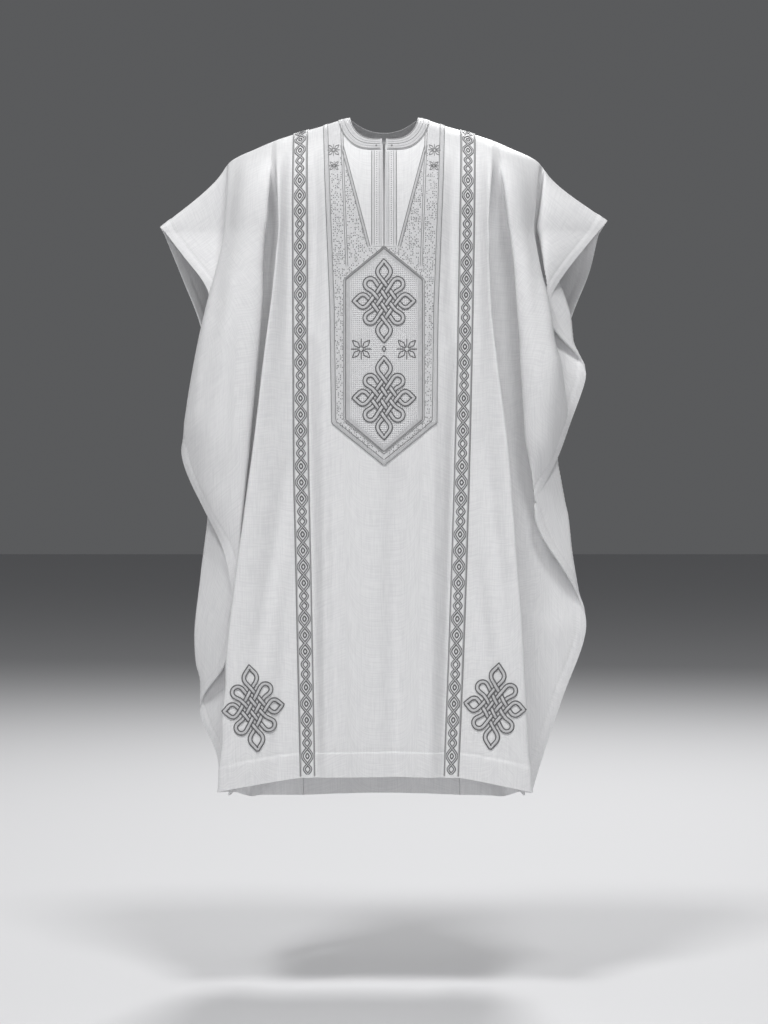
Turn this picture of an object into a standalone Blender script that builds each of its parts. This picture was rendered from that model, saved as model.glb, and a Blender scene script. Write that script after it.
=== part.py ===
"""A grand boubou: a wide ceremonial robe in white damask, hanging open and hollow as it is worn.

Metres, +Z up, the front facing -Y. The origin is in the neck opening, level with the shoulders.
"""

import math
from collections import namedtuple

import bmesh
import bpy
from mathutils import Vector

CLOTH = 0.0020  # thickness of a panel
TRIM = 0.0012  # thickness of an applied strip
TRIM_GAP = 0.0006  # air between a panel and what is sewn on it
SHOULDER_GAP = 0.0006  # half the space between front and back along the shoulder
SEAM_GAP = 0.0005  # half the space between two panels sewn edge to edge
LEFT = -1
RIGHT = 1

# ---------------------------------------------------------------- the shoulder line
Shoulder = namedtuple("Shoulder", "out height")
SHOULDER_LINE = [
    Shoulder(0.000, 0.020),
    Shoulder(0.065, 0.016),
    Shoulder(0.112, 0.003),
    Shoulder(0.165, -0.012),
    Shoulder(0.205, -0.025),
    Shoulder(0.245, -0.042),
    Shoulder(0.285, -0.060),
    Shoulder(0.300, -0.073),
    Shoulder(0.313, -0.093),
]
SLEEVE_TIP = {LEFT: Shoulder(0.425, -0.189), RIGHT: Shoulder(0.424, -0.177)}
ROLL_END = -0.200  # below this height the cloth hangs; above it, it rolls over the shoulder
ROLL_STEPS = 6
NECK_MARGIN = math.radians(3)  # a row this near the edge of the neck hole moves onto it
LEAST_ANGLE = 1e-9  # on the shoulder line, but still on the rolled part of a column

# ---------------------------------------------------------------- the middle panels
Hang = namedtuple("Hang", "height middle seam")  # depth at the middle and at the side seam
FRONT_HANG = [
    Hang(-0.200, 0.122, 0.106),
    Hang(-0.400, 0.130, 0.113),
    Hang(-0.700, 0.140, 0.124),
    Hang(-1.000, 0.156, 0.140),
    Hang(-1.220, 0.170, 0.155),
]
BACK_HANG = [
    Hang(-0.200, 0.100, 0.090),
    Hang(-0.450, 0.118, 0.106),
    Hang(-0.800, 0.140, 0.128),
    Hang(-1.290, 0.182, 0.170),
]
Seam = namedtuple("Seam", "height out")
FRONT_SEAM = {
    LEFT: [Seam(0.0, 0.157), Seam(-0.580, 0.1545), Seam(-0.890, 0.148), Seam(-1.220, 0.140)],
    RIGHT: [Seam(0.0, 0.158), Seam(-0.520, 0.148), Seam(-0.890, 0.137), Seam(-1.220, 0.123)],
}
BACK_SEAM = {
    LEFT: [Seam(0.0, 0.157), Seam(-1.290, 0.158)],
    RIGHT: [Seam(0.0, 0.158), Seam(-1.290, 0.148)],
}
FRONT_HEM = -1.2145
BACK_HEM = -1.2840
HEM_RISE = 0.003  # how much higher the middle of a hem is than its seams
BAND_HALF = 0.0145  # half the width of the embroidered strip over a front seam

FRONT_COLUMNS = [0.112, 0.0755, 0.062, 0.036]  # distances out, between the band and the slit
BACK_COLUMNS = [0.112, 0.0755, 0.062, 0.036]

# the neck: half-widths and depths of the rings, in plan
Ring = namedtuple("Ring", "half_width front back")
NECK_HOLE = Ring(0.075, 0.086, 0.054)
NECKBAND_INNER = Ring(0.064, 0.080, 0.045)
NECKBAND_OUTER = Ring(0.086, 0.0915, 0.063)
NECKBAND_STEPS = 40
FRONT_SQUARENESS = 3.4  # of the rings: 2 is an ellipse, and more has fuller corners
BACK_SQUARENESS = 2.0
SLIT_END = -0.238
SLIT_HALF_TOP = 0.0024
SLIT_HALF_END = 0.0008

# ---------------------------------------------------------------- the side panels
# A side panel runs out from its seam through crests and roots of folds to its free edge. The edge
# cuts across the folds as it falls, so that each fold ends on it. A fold line starts at a distance
# out along the shoulder; its rows give height, distance out, and distance before the shoulder line.
Row = namedtuple("Row", "height out fore")
Line = namedtuple("Line", "name shoulder_out hem_drop columns rows")

LEFT_FRONT = [
    Line("first crest", 0.2014, 0.0245, 2, [
        Row(-0.200, 0.195, 0.124), Row(-0.320, 0.207, 0.134), Row(-0.444, 0.223, 0.140),
        Row(-0.579, 0.2385, 0.143), Row(-0.727, 0.258, 0.148), Row(-0.891, 0.279, 0.153),
        Row(-1.043, 0.2955, 0.160), Row(-1.220, 0.303, 0.168)]),
    Line("first root", 0.2043, 0.027, 2, [
        Row(-0.200, 0.184, 0.088), Row(-0.320, 0.190, 0.094), Row(-0.444, 0.203, 0.098),
        Row(-0.727, 0.236, 0.104), Row(-0.891, 0.255, 0.110), Row(-1.220, 0.281, 0.128)]),
    Line("under fold", 0.2071, 0.030, 3, [
        Row(-0.200, 0.232, 0.060), Row(-0.320, 0.285, 0.048), Row(-0.460, 0.318, 0.043),
        Row(-0.620, 0.327, 0.043), Row(-0.735, 0.335, 0.045), Row(-0.861, 0.3485, 0.045),
        Row(-0.970, 0.359, 0.045), Row(-1.023, 0.3555, 0.045), Row(-1.081, 0.348, 0.047)]),
    Line("inner fold", 0.2100, 0.030, 3, [
        Row(-0.200, 0.217, 0.106), Row(-0.320, 0.222, 0.112), Row(-0.444, 0.232, 0.118),
        Row(-0.579, 0.244, 0.120), Row(-0.727, 0.256, 0.122), Row(-0.850, 0.268, 0.123),
        Row(-0.930, 0.275, 0.124)]),
    Line("wing", 0.2546, 0.030, 2, [
        Row(-0.200, 0.262, 0.098), Row(-0.320, 0.280, 0.120), Row(-0.444, 0.296, 0.130),
        Row(-0.579, 0.314, 0.128), Row(-0.680, 0.322, 0.112), Row(-0.787, 0.302, 0.098)]),
    Line("side crest", 0.2945, 0.030, 2, [
        Row(-0.200, 0.300, 0.050), Row(-0.272, 0.317, 0.062), Row(-0.318, 0.327, 0.070),
        Row(-0.382, 0.342, 0.075), Row(-0.468, 0.359, 0.075), Row(-0.557, 0.374, 0.070),
        Row(-0.608, 0.381, 0.060)]),
    Line("side root", 0.2980, 0.030, 2, [
        Row(-0.200, 0.283, 0.018), Row(-0.272, 0.296, 0.030), Row(-0.318, 0.304, 0.036),
        Row(-0.400, 0.320, 0.036)]),
    Line("free edge", 0.4250, 0.031, 3, [
        Row(-0.200, 0.414, 0.008), Row(-0.245, 0.380, 0.018), Row(-0.318, 0.329, 0.030),
        Row(-0.400, 0.320, 0.036), Row(-0.500, 0.338, 0.042), Row(-0.575, 0.366, 0.052),
        Row(-0.608, 0.381, 0.060), Row(-0.631, 0.377, 0.064), Row(-0.732, 0.3305, 0.085),
        Row(-0.787, 0.302, 0.098), Row(-0.837, 0.287, 0.110), Row(-0.930, 0.275, 0.124),
        Row(-1.011, 0.298, 0.108), Row(-1.044, 0.331, 0.075), Row(-1.062, 0.343, 0.060),
        Row(-1.081, 0.348, 0.047), Row(-1.165, 0.308, 0.085), Row(-1.220, 0.305, 0.108)]),
]
RIGHT_FRONT = [
    Line("first crest", 0.2033, 0.0255, 2, [
        Row(-0.200, 0.194, 0.124), Row(-0.320, 0.197, 0.134), Row(-0.466, 0.212, 0.140),
        Row(-0.608, 0.230, 0.143), Row(-0.761, 0.241, 0.148), Row(-0.965, 0.256, 0.155),
        Row(-1.133, 0.265, 0.162), Row(-1.220, 0.271, 0.167)]),
    Line("first root", 0.2071, 0.028, 2, [
        Row(-0.200, 0.182, 0.088), Row(-0.320, 0.182, 0.094), Row(-0.466, 0.192, 0.098),
        Row(-0.761, 0.220, 0.104), Row(-0.965, 0.236, 0.112), Row(-1.220, 0.252, 0.125)]),
    Line("under fold", 0.2109, 0.031, 3, [
        Row(-0.200, 0.232, 0.060), Row(-0.320, 0.290, 0.050), Row(-0.460, 0.322, 0.045),
        Row(-0.620, 0.331, 0.045), Row(-0.711, 0.345, 0.045), Row(-0.782, 0.355, 0.045),
        Row(-0.878, 0.369, 0.048), Row(-0.930, 0.381, 0.050)]),
    Line("inner fold", 0.2166, 0.031, 3, [
        Row(-0.200, 0.233, 0.104), Row(-0.320, 0.242, 0.112), Row(-0.466, 0.251, 0.115),
        Row(-0.598, 0.259, 0.110), Row(-0.690, 0.272, 0.102), Row(-0.730, 0.278, 0.095)]),
    Line("wing", 0.2546, 0.031, 2, [
        Row(-0.200, 0.262, 0.094), Row(-0.320, 0.276, 0.120), Row(-0.466, 0.293, 0.132),
        Row(-0.598, 0.300, 0.118), Row(-0.672, 0.301, 0.081)]),
    Line("side crest", 0.2945, 0.031, 2, [
        Row(-0.200, 0.281, 0.052), Row(-0.285, 0.296, 0.076), Row(-0.330, 0.308, 0.088),
        Row(-0.405, 0.320, 0.098), Row(-0.447, 0.330, 0.100), Row(-0.514, 0.343, 0.080),
        Row(-0.566, 0.347, 0.055)]),
    Line("side root", 0.2983, 0.031, 2, [
        Row(-0.200, 0.268, 0.022), Row(-0.285, 0.270, 0.034), Row(-0.405, 0.297, 0.052),
        Row(-0.447, 0.310, 0.064), Row(-0.514, 0.336, 0.062), Row(-0.566, 0.347, 0.055)]),
    Line("back fold", 0.3021, 0.031, 2, [
        Row(-0.200, 0.302, 0.002), Row(-0.295, 0.338, 0.008), Row(-0.349, 0.355, 0.015),
        Row(-0.405, 0.365, 0.022), Row(-0.441, 0.377, 0.030), Row(-0.462, 0.383, 0.035)]),
    Line("sleeve fold", 0.3059, 0.031, 2, [
        Row(-0.200, 0.286, 0.036), Row(-0.285, 0.297, 0.057), Row(-0.360, 0.306, 0.060)]),
    Line("free edge", 0.4240, 0.031, 3, [
        Row(-0.200, 0.404, 0.010), Row(-0.278, 0.341, 0.030), Row(-0.325, 0.312, 0.048),
        Row(-0.360, 0.306, 0.060), Row(-0.399, 0.327, 0.052), Row(-0.428, 0.362, 0.040),
        Row(-0.462, 0.383, 0.035), Row(-0.509, 0.370, 0.040), Row(-0.566, 0.347, 0.055),
        Row(-0.614, 0.330, 0.065), Row(-0.672, 0.301, 0.081), Row(-0.702, 0.285, 0.090),
        Row(-0.730, 0.278, 0.095), Row(-0.770, 0.291, 0.090), Row(-0.831, 0.332, 0.075),
        Row(-0.885, 0.365, 0.060), Row(-0.930, 0.381, 0.050), Row(-1.059, 0.334, 0.070),
        Row(-1.140, 0.302, 0.085), Row(-1.220, 0.273, 0.105)]),
]
LEFT_BACK = [
    Line("first crest", 0.195, 0.004, 3, [
        Row(-0.200, 0.196, -0.108), Row(-0.600, 0.212, -0.146), Row(-1.290, 0.244, -0.205)]),
    Line("first root", 0.222, -0.002, 3, [
        Row(-0.200, 0.232, -0.082), Row(-0.600, 0.240, -0.098), Row(-1.290, 0.262, -0.132)]),
    Line("side crest", 0.270, -0.008, 3, [
        Row(-0.200, 0.292, -0.078), Row(-0.600, 0.292, -0.112), Row(-1.290, 0.290, -0.148)]),
    Line("free edge", 0.425, -0.012, 4, [
        Row(-0.200, 0.418, -0.010), Row(-0.293, 0.381, -0.030), Row(-0.374, 0.350, -0.040),
        Row(-0.460, 0.335, -0.040), Row(-0.620, 0.330, -0.042), Row(-0.800, 0.315, -0.045),
        Row(-0.970, 0.335, -0.045), Row(-1.080, 0.325, -0.048), Row(-1.160, 0.300, -0.052),
        Row(-1.290, 0.298, -0.060)]),
]
RIGHT_BACK = [
    Line("first crest", 0.195, 0.005, 3, [
        Row(-0.200, 0.196, -0.106), Row(-0.600, 0.206, -0.142), Row(-1.290, 0.210, -0.203)]),
    Line("first root", 0.225, -0.002, 3, [
        Row(-0.200, 0.234, -0.080), Row(-0.600, 0.238, -0.096), Row(-1.290, 0.236, -0.134)]),
    Line("side crest", 0.270, -0.008, 3, [
        Row(-0.200, 0.288, -0.076), Row(-0.600, 0.280, -0.108), Row(-1.290, 0.262, -0.150)]),
    Line("free edge", 0.424, -0.012, 4, [
        Row(-0.200, 0.408, -0.012), Row(-0.262, 0.396, -0.042), Row(-0.350, 0.361, -0.045),
        Row(-0.460, 0.330, -0.040), Row(-0.620, 0.310, -0.040), Row(-0.730, 0.303, -0.045),
        Row(-0.930, 0.335, -0.045), Row(-1.060, 0.312, -0.048), Row(-1.200, 0.272, -0.054),
        Row(-1.290, 0.270, -0.060)]),
]
FRONT_HEIGHTS = [
    -0.238, -0.280, -0.318, -0.360, -0.400, -0.462, -0.514, -0.566, -0.608, -0.672, -0.730,
    -0.787, -0.850, -0.930, -1.011, -1.081, -1.150, FRONT_HEM - HEM_RISE,
]
BACK_HEIGHTS = [
    -0.293, -0.374, -0.460, -0.570, -0.690, -0.810, -0.930, -1.060, -1.180, BACK_HEM - HEM_RISE,
]
HEM_BLEND = -0.900  # below this height the rows tilt to follow the hem

# ---------------------------------------------------------------- what is sewn on the front
Corner = namedtuple("Corner", "out height")
YOKE = [  # one arm of the V, down one side of the chest piece to its point
    Corner(0.1160, 0.030), Corner(0.1010, -0.350), Corner(0.0980, -0.566), Corner(0.0003, -0.645),
    Corner(0.0003, -0.6175), Corner(0.0700, -0.5585), Corner(0.0700, -0.3005),
    Corner(0.0003, -0.2432), Corner(0.0003, -0.2395), Corner(0.0245, -0.2395),
    Corner(0.0760, -0.0450), Corner(0.0890, -0.0150), Corner(0.0915, 0.030),
]
PLACKET = [
    Corner(0.0238, -0.0565), Corner(0.0238, -0.2385), Corner(0.0012, -0.2385),
    Corner(0.0028, -0.0565),
]
CHEST_HALF = [
    Corner(0.0, -0.6167), Corner(0.0696, -0.5581), Corner(0.0696, -0.3011), Corner(0.0, -0.2440),
]

WHITE = (0.86, 0.86, 0.87, 1.0)
SILVER = (0.56, 0.57, 0.58, 1.0)
PALE = (0.70, 0.70, 0.71, 1.0)
CLOTH_ROUGHNESS = 0.7
SAME_PLANE = math.radians(0.05)  # facets this nearly level are joined


# ---------------------------------------------------------------- curves and surfaces
def smooth(rows, at):
    """The columns after the first, read off a smooth curve through the rows at a first value."""
    rows = sorted(rows)
    keys = [row[0] for row in rows]
    at = min(max(at, keys[0]), keys[-1])
    i = max(n for n in range(len(rows) - 1) if keys[n] <= at)
    span = keys[i + 1] - keys[i]
    t = (at - keys[i]) / span
    values = []
    for column in range(1, len(rows[0])):
        v = [row[column] for row in rows]
        here = (v[i + 1] - v[i]) / span
        before = (v[i] - v[i - 1]) / (keys[i] - keys[i - 1]) if i > 0 else here
        after = (v[i + 2] - v[i + 1]) / (keys[i + 2] - keys[i + 1]) if i + 2 < len(rows) else here
        start = span * slope(before, here)
        end = span * slope(here, after)
        values.append(
            v[i] * (1 + 2 * t) * (1 - t) ** 2 + start * t * (1 - t) ** 2
            + v[i + 1] * t * t * (3 - 2 * t) + end * t * t * (t - 1)
        )
    return values


def slope(a, b):
    """The tangent between two slopes: none at a turn, so that a curve never overshoots its rows."""
    return 0.0 if a * b <= 0 else 2 * a * b / (a + b)


def shoulder_height(out, side):
    """The height of the shoulder line at a distance out from the middle."""
    return smooth(SHOULDER_LINE + [SLEEVE_TIP[side]], out)[0]


def rolled(shoulder_out, side, out, fore, angle):
    """A point that leaves the shoulder line and has turned through an angle towards hanging."""
    top = shoulder_height(shoulder_out, side)
    turned = 1 - math.cos(angle)
    ahead = math.sin(angle) * fore
    gap = math.copysign(SHOULDER_GAP, fore) * math.cos(angle)
    return Vector((
        side * (shoulder_out + (out - shoulder_out) * turned),
        -ahead - gap,
        top + (ROLL_END - top) * turned,
    ))


def middle_depth(hang, seam, x, height):
    """How far a middle panel hangs from the shoulder line, between its middle and its seam."""
    middle, edge = smooth(hang, height)
    side = RIGHT if x > 0 else LEFT
    reach = abs(x) / smooth(seam[side], height)[0]
    return middle + (edge - middle) * reach * reach


def middle_point(hang, seam, facing, x, step):
    """A point of a middle panel: a roll angle above ROLL_END, or a height below it."""
    side = RIGHT if x > 0 else LEFT
    if step > 0:
        fore = facing * middle_depth(hang, seam, x, ROLL_END)
        return rolled(abs(x), side, abs(x), fore, step)
    fore = facing * middle_depth(hang, seam, x, step)
    return Vector((x, -fore, step))


def round_section(points, columns):
    """Points along a rounded line through others, with a number of steps to each."""
    line = [2 * points[0] - points[1]] + points + [2 * points[-1] - points[-2]]
    result = [points[0].copy()]
    for i, steps in enumerate(columns):
        a, b, c, d = line[i:i + 4]
        for n in range(1, steps + 1):
            result.append(centripetal(a, b, c, d, n / steps))
    return result


def centripetal(a, b, c, d, t):
    """A point between b and c on a Catmull-Rom curve that doesn't overshoot at sharp folds."""
    before = math.sqrt((b - a).length) or 1.0
    between = math.sqrt((c - b).length) or 1.0
    after = math.sqrt((d - c).length) or 1.0
    start = (c - b) + between * ((b - a) / before - (c - a) / (before + between))
    end = (c - b) + between * ((d - c) / after - (d - b) / (between + after))
    return (
        b * (1 + 2 * t) * (1 - t) ** 2 + start * t * (1 - t) ** 2
        + c * t * t * (3 - 2 * t) + end * t * t * (t - 1)
    )


# ---------------------------------------------------------------- sheets of points
def roll_angles():
    """The angles of the rows that roll over the shoulder, from the shoulder line down."""
    return [math.radians(90) * n / ROLL_STEPS for n in range(ROLL_STEPS + 1)]


def hem_blend(height, hem):
    """How far a row has tilted to follow the hem: 0 above HEM_BLEND, 1 on the hem."""
    return max(0.0, (HEM_BLEND - height) / (HEM_BLEND - hem))


def neck_angle(facing, depth, x):
    """The roll angle at which a column of a middle panel starts, on the edge of the neck hole."""
    ring_depth = NECK_HOLE.front if facing > 0 else NECK_HOLE.back
    squareness = FRONT_SQUARENESS if facing > 0 else BACK_SQUARENESS
    inside = 1 - (abs(x) / NECK_HOLE.half_width) ** squareness
    if inside <= 0:
        return 0.0
    return math.asin(ring_depth * inside ** (1 / squareness) / depth)


def middle_column(hang, seam, facing, out_at, side, heights):
    """A column of a middle panel, from the shoulder line or the neck hole to the hem."""
    x_top = side * out_at(ROLL_END)
    start = neck_angle(facing, middle_depth(hang, seam, x_top, ROLL_END), x_top)
    column = []
    for angle in roll_angles():
        turned = angle if angle > start + NECK_MARGIN else max(start, LEAST_ANGLE)
        column.append(middle_point(hang, seam, facing, x_top, turned))
    for height in heights:
        x = side * out_at(height)
        point = middle_point(hang, seam, facing, x, height)
        reach = x / smooth(seam[side], height)[0]
        point.z += HEM_RISE * (1 - reach * reach) * hem_blend(height, heights[-1])
        column.append(point)
    return column


def scaled(out, seam_rows):
    """A distance out that narrows or widens down the panel as its seam does."""
    widest = seam_rows[0].out
    return lambda height: out * smooth(seam_rows, height)[0] / widest


def slit_out(height):
    """Half the width of the front slit, which closes at its end."""
    if height <= SLIT_END:
        return 0.0
    return SLIT_HALF_END + (SLIT_HALF_TOP - SLIT_HALF_END) * (height - SLIT_END) / -SLIT_END


def front_half(side):
    """The columns of one half of the front panel, from its seam to the slit."""
    seam = FRONT_SEAM[side]
    outs = [
        lambda height: smooth(seam, height)[0] - SEAM_GAP,
        lambda height: smooth(seam, height)[0] - BAND_HALF,
    ]
    outs += [scaled(out, seam) for out in FRONT_COLUMNS]
    outs.append(slit_out)
    return [
        middle_column(FRONT_HANG, FRONT_SEAM, 1, out_at, side, FRONT_HEIGHTS)
        for out_at in outs
    ]


def back_half(side):
    """The columns of one half of the back panel, from its seam to the middle."""
    seam = BACK_SEAM[side]
    outs = [lambda height: smooth(seam, height)[0] - SEAM_GAP]
    outs += [scaled(out, seam) for out in BACK_COLUMNS]
    outs.append(lambda height: 0.0)
    return [
        middle_column(BACK_HANG, BACK_SEAM, -1, out_at, side, BACK_HEIGHTS)
        for out_at in outs
    ]


def seam_key(hang, seam, facing, side, height, beyond):
    """Where a side panel meets or runs beside its seam: out, fore and hem drop."""
    out = smooth(seam[side], height)[0]
    return Vector((out + beyond, facing * smooth(hang, height)[1], 0.0))


def side_section(lines, keys, height):
    """The folded line of a side panel at one height: points of out, fore and hem drop."""
    edge_line = lines[-1]
    edge = Vector((*smooth(edge_line.rows, height), -edge_line.hem_drop))
    points = list(keys)
    for line in lines[:-1]:
        if height > line.rows[-1].height + 1e-6:
            points.append(Vector((*smooth(line.rows, height), -line.hem_drop)))
    points.append(edge)
    steps = [1] * (len(keys) - 1) + [line.columns for line in lines]
    section = round_section(points, steps[:len(points) - 1])
    return section + [edge.copy()] * (sum(steps) + 1 - len(section))


def side_columns(lines, keys):
    """Where each column of a side panel starts along the shoulder line."""
    ends = [(len(keys) - 1, keys[-1])]
    ends += [(line.columns, line.shoulder_out) for line in lines]
    outs = list(keys)
    for (_, before), (steps, after) in zip(ends, ends[1:]):
        outs += [before + (after - before) * n / steps for n in range(1, steps + 1)]
    return outs


def side_sheet(lines, hang, seam, facing, side, beyond, heights):
    """Rows of points of a side panel, from the shoulder line to the hem."""
    def keys_at(height):
        return [seam_key(hang, seam, facing, side, height, distance) for distance in beyond]

    seam_out = seam[side][0].out
    starts = side_columns(lines, [seam_out + distance for distance in beyond])
    hung = side_section(lines, keys_at(ROLL_END), ROLL_END)
    rows = [
        [rolled(start, side, p.x, p.y, angle) for start, p in zip(starts, hung)]
        for angle in roll_angles()
    ]
    for height in heights:
        blend = hem_blend(height, heights[-1])
        rows.append([
            Vector((side * p.x, -p.y, height + p.z * blend))
            for p in side_section(lines, keys_at(height), height)
        ])
    return rows


# ---------------------------------------------------------------- meshes and objects
def grid_mesh(name, grids):
    """A sheet of triangles over grids of points, joined where their points coincide."""
    index = {}
    points = []

    def vertex(point):
        key = tuple(round(value, 6) for value in point)
        if key not in index:
            index[key] = len(points)
            points.append(point)
        return index[key]

    faces = []
    for grid, flip in grids:
        ids = [[vertex(point) for point in row] for row in grid]
        for upper, lower in zip(ids, ids[1:]):
            for n in range(len(upper) - 1):
                a, b, c, d = upper[n], upper[n + 1], lower[n + 1], lower[n]
                for corners in ((a, d, c), (a, c, b)):
                    if len(set(corners)) == 3:
                        faces.append(corners[::-1] if flip else corners)
    mesh = bpy.data.meshes.new(name)
    mesh.from_pydata(points, [], faces)
    return mesh


def transposed(columns):
    """Rows of a grid from its columns."""
    return [list(row) for row in zip(*columns)]


def material(name, colour, roughness):
    """A plain cloth material."""
    made = bpy.data.materials.new(name)
    made.use_nodes = True
    shader = made.node_tree.nodes["Principled BSDF"]
    shader.inputs["Base Color"].default_value = colour
    shader.inputs["Roughness"].default_value = roughness
    shader.inputs["Metallic"].default_value = 0.0
    return made


def cloth(name, mesh, thickness, colour):
    """An object that gives a sheet its thickness, half on each side."""
    for polygon in mesh.polygons:
        polygon.use_smooth = True
    mesh.materials.append(material(name, colour, CLOTH_ROUGHNESS))
    thing = bpy.data.objects.new(name, mesh)
    bpy.context.collection.objects.link(thing)
    wall = thing.modifiers.new("wall", "SOLIDIFY")
    wall.thickness = thickness
    wall.offset = 0.0
    return thing


def lift(bm, distance):
    """Moves a sheet out along its own normals."""
    bm.normal_update()
    moves = [vert.normal * distance for vert in bm.verts]
    for vert, move in zip(bm.verts, moves):
        vert.co += move


def inside(outline, x, z):
    """Whether a point is inside an outline, seen from the front."""
    within = False
    for (ax, az), (bx, bz) in zip(outline, outline[1:] + outline[:1]):
        if (az > z) != (bz > z) and x < ax + (bx - ax) * (z - az) / (bz - az):
            within = not within
    return within


def sewn_on(name, panel_mesh, outline, colour):
    """A piece sewn on the front: the panel's own surface inside an outline, moved out."""
    bm = bmesh.new()
    bm.from_mesh(panel_mesh)
    xs = [x for x, z in outline]
    zs = [z for x, z in outline]
    far = [
        face for face in bm.faces
        if max(v.co.x for v in face.verts) < min(xs) or min(v.co.x for v in face.verts) > max(xs)
        or max(v.co.z for v in face.verts) < min(zs) or min(v.co.z for v in face.verts) > max(zs)
    ]
    bmesh.ops.delete(bm, geom=far, context="FACES")
    for (ax, az), (bx, bz) in zip(outline, outline[1:] + outline[:1]):
        bmesh.ops.bisect_plane(
            bm, geom=bm.verts[:] + bm.edges[:] + bm.faces[:], dist=1e-6,
            plane_co=(ax, 0, az), plane_no=(bz - az, 0, ax - bx),
        )
    centres = [(face, face.calc_center_median()) for face in bm.faces]
    outer = [face for face, centre in centres if not inside(outline, centre.x, centre.z)]
    bmesh.ops.delete(bm, geom=outer, context="FACES")
    bmesh.ops.dissolve_limit(
        bm, angle_limit=SAME_PLANE, verts=bm.verts[:], edges=bm.edges[:],
        use_dissolve_boundaries=False,
    )
    bmesh.ops.triangulate(bm, faces=bm.faces[:])
    lift(bm, CLOTH / 2 + TRIM_GAP + TRIM / 2)
    mesh = bpy.data.meshes.new(name)
    bm.to_mesh(mesh)
    bm.free()
    return cloth(name, mesh, TRIM, colour)


def band(name, side):
    """The embroidered strip over a front seam, on the columns of both its panels."""
    seam = FRONT_SEAM[side]
    outs = [
        lambda height: smooth(seam, height)[0] - BAND_HALF,
        lambda height: smooth(seam, height)[0],
    ]
    columns = [
        middle_column(FRONT_HANG, FRONT_SEAM, 1, out_at, side, FRONT_HEIGHTS)
        for out_at in outs
    ]
    columns.append([row[1] for row in front_side_rows(side)])  # the side panel's second column
    mesh = grid_mesh(name, [(transposed(columns), side == LEFT)])
    bm = bmesh.new()
    bm.from_mesh(mesh)
    lift(bm, CLOTH / 2 + TRIM_GAP + TRIM / 2)
    bm.to_mesh(mesh)
    bm.free()
    return cloth(name, mesh, TRIM, SILVER)


def front_side_rows(side):
    """The rows of points of a front side panel."""
    lines = LEFT_FRONT if side == LEFT else RIGHT_FRONT
    return side_sheet(
        lines, FRONT_HANG, FRONT_SEAM, 1, side, (SEAM_GAP, BAND_HALF), FRONT_HEIGHTS
    )


def back_side_rows(side):
    """The rows of points of a back side panel."""
    lines = LEFT_BACK if side == LEFT else RIGHT_BACK
    return side_sheet(lines, BACK_HANG, BACK_SEAM, -1, side, (SEAM_GAP,), BACK_HEIGHTS)


def neck_point(ring, turn):
    """A point of the rolled cloth on a ring round the neck; the turn is 0 in front."""
    in_front = math.cos(turn) > 0
    power = 2 / (FRONT_SQUARENESS if in_front else BACK_SQUARENESS)
    x = ring.half_width * math.copysign(abs(math.sin(turn)) ** power, math.sin(turn))
    reach = (ring.front if in_front else ring.back) * abs(math.cos(turn)) ** power
    hang, seam = (FRONT_HANG, FRONT_SEAM) if in_front else (BACK_HANG, BACK_SEAM)
    angle = math.asin(reach / middle_depth(hang, seam, x, ROLL_END))
    top = shoulder_height(abs(x), RIGHT)
    z = top + (ROLL_END - top) * (1 - math.cos(angle))
    return Vector((x, -reach if in_front else reach, z))


def neckband():
    """The flat band round the neck, open at the slit."""
    slit = 1.6 * SLIT_HALF_TOP / NECKBAND_INNER.half_width
    start = math.asin(slit ** (FRONT_SQUARENESS / 2))
    span = 2 * math.pi - 2 * start
    middle = Ring(*[(a + b) / 2 for a, b in zip(NECKBAND_INNER, NECKBAND_OUTER)])
    rows = [
        [neck_point(ring, start + span * n / NECKBAND_STEPS)
         for ring in (NECKBAND_INNER, middle, NECKBAND_OUTER)]
        for n in range(NECKBAND_STEPS + 1)
    ]
    mesh = grid_mesh("neckband", [(rows, True)])
    bm = bmesh.new()
    bm.from_mesh(mesh)
    lift(bm, CLOTH / 2 + 2 * TRIM_GAP + TRIM / 2)
    bm.to_mesh(mesh)
    bm.free()
    return cloth("neckband", mesh, TRIM, SILVER)


def placed(corners, side):
    """An outline seen from the front, on one side of the middle."""
    return [(side * corner.out, corner.height) for corner in corners]


def main():
    for thing in list(bpy.data.objects):
        bpy.data.objects.remove(thing, do_unlink=True)

    front = grid_mesh("front_panel", [
        (transposed(front_half(LEFT)), False), (transposed(front_half(RIGHT)), True),
    ])
    sewn_on("chest_panel", front, chest_outline(), PALE)
    for side, word in ((LEFT, "left"), (RIGHT, "right")):
        sewn_on(word + "_yoke", front, placed(YOKE, side), PALE)
        sewn_on(word + "_placket", front, placed(PLACKET, side), SILVER)
        band(word + "_band", side)
        front_side = grid_mesh(word + "_front_side", [(front_side_rows(side), side == LEFT)])
        cloth(word + "_front_side", front_side, CLOTH, WHITE)
        back_side = grid_mesh(word + "_back_side", [(back_side_rows(side), side == RIGHT)])
        cloth(word + "_back_side", back_side, CLOTH, WHITE)
    cloth("front_panel", front, CLOTH, WHITE)
    back = grid_mesh("back_panel", [
        (transposed(back_half(LEFT)), True), (transposed(back_half(RIGHT)), False),
    ])
    cloth("back_panel", back, CLOTH, WHITE)
    neckband()


def chest_outline():
    """The six-sided chest piece, round both halves."""
    right = placed(CHEST_HALF, RIGHT)
    left = placed(CHEST_HALF[1:-1], LEFT)
    return right + left[::-1]


main()
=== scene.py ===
"""The looks of a grand boubou: white damask that hangs in folds, with silver-grey embroidery.

Metres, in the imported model's frame: +Z up, the front facing -Y, the origin in the neck opening.
"""

import math
from collections import namedtuple

import bpy
import numpy as np
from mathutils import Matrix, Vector
from mathutils.bvhtree import BVHTree


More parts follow.
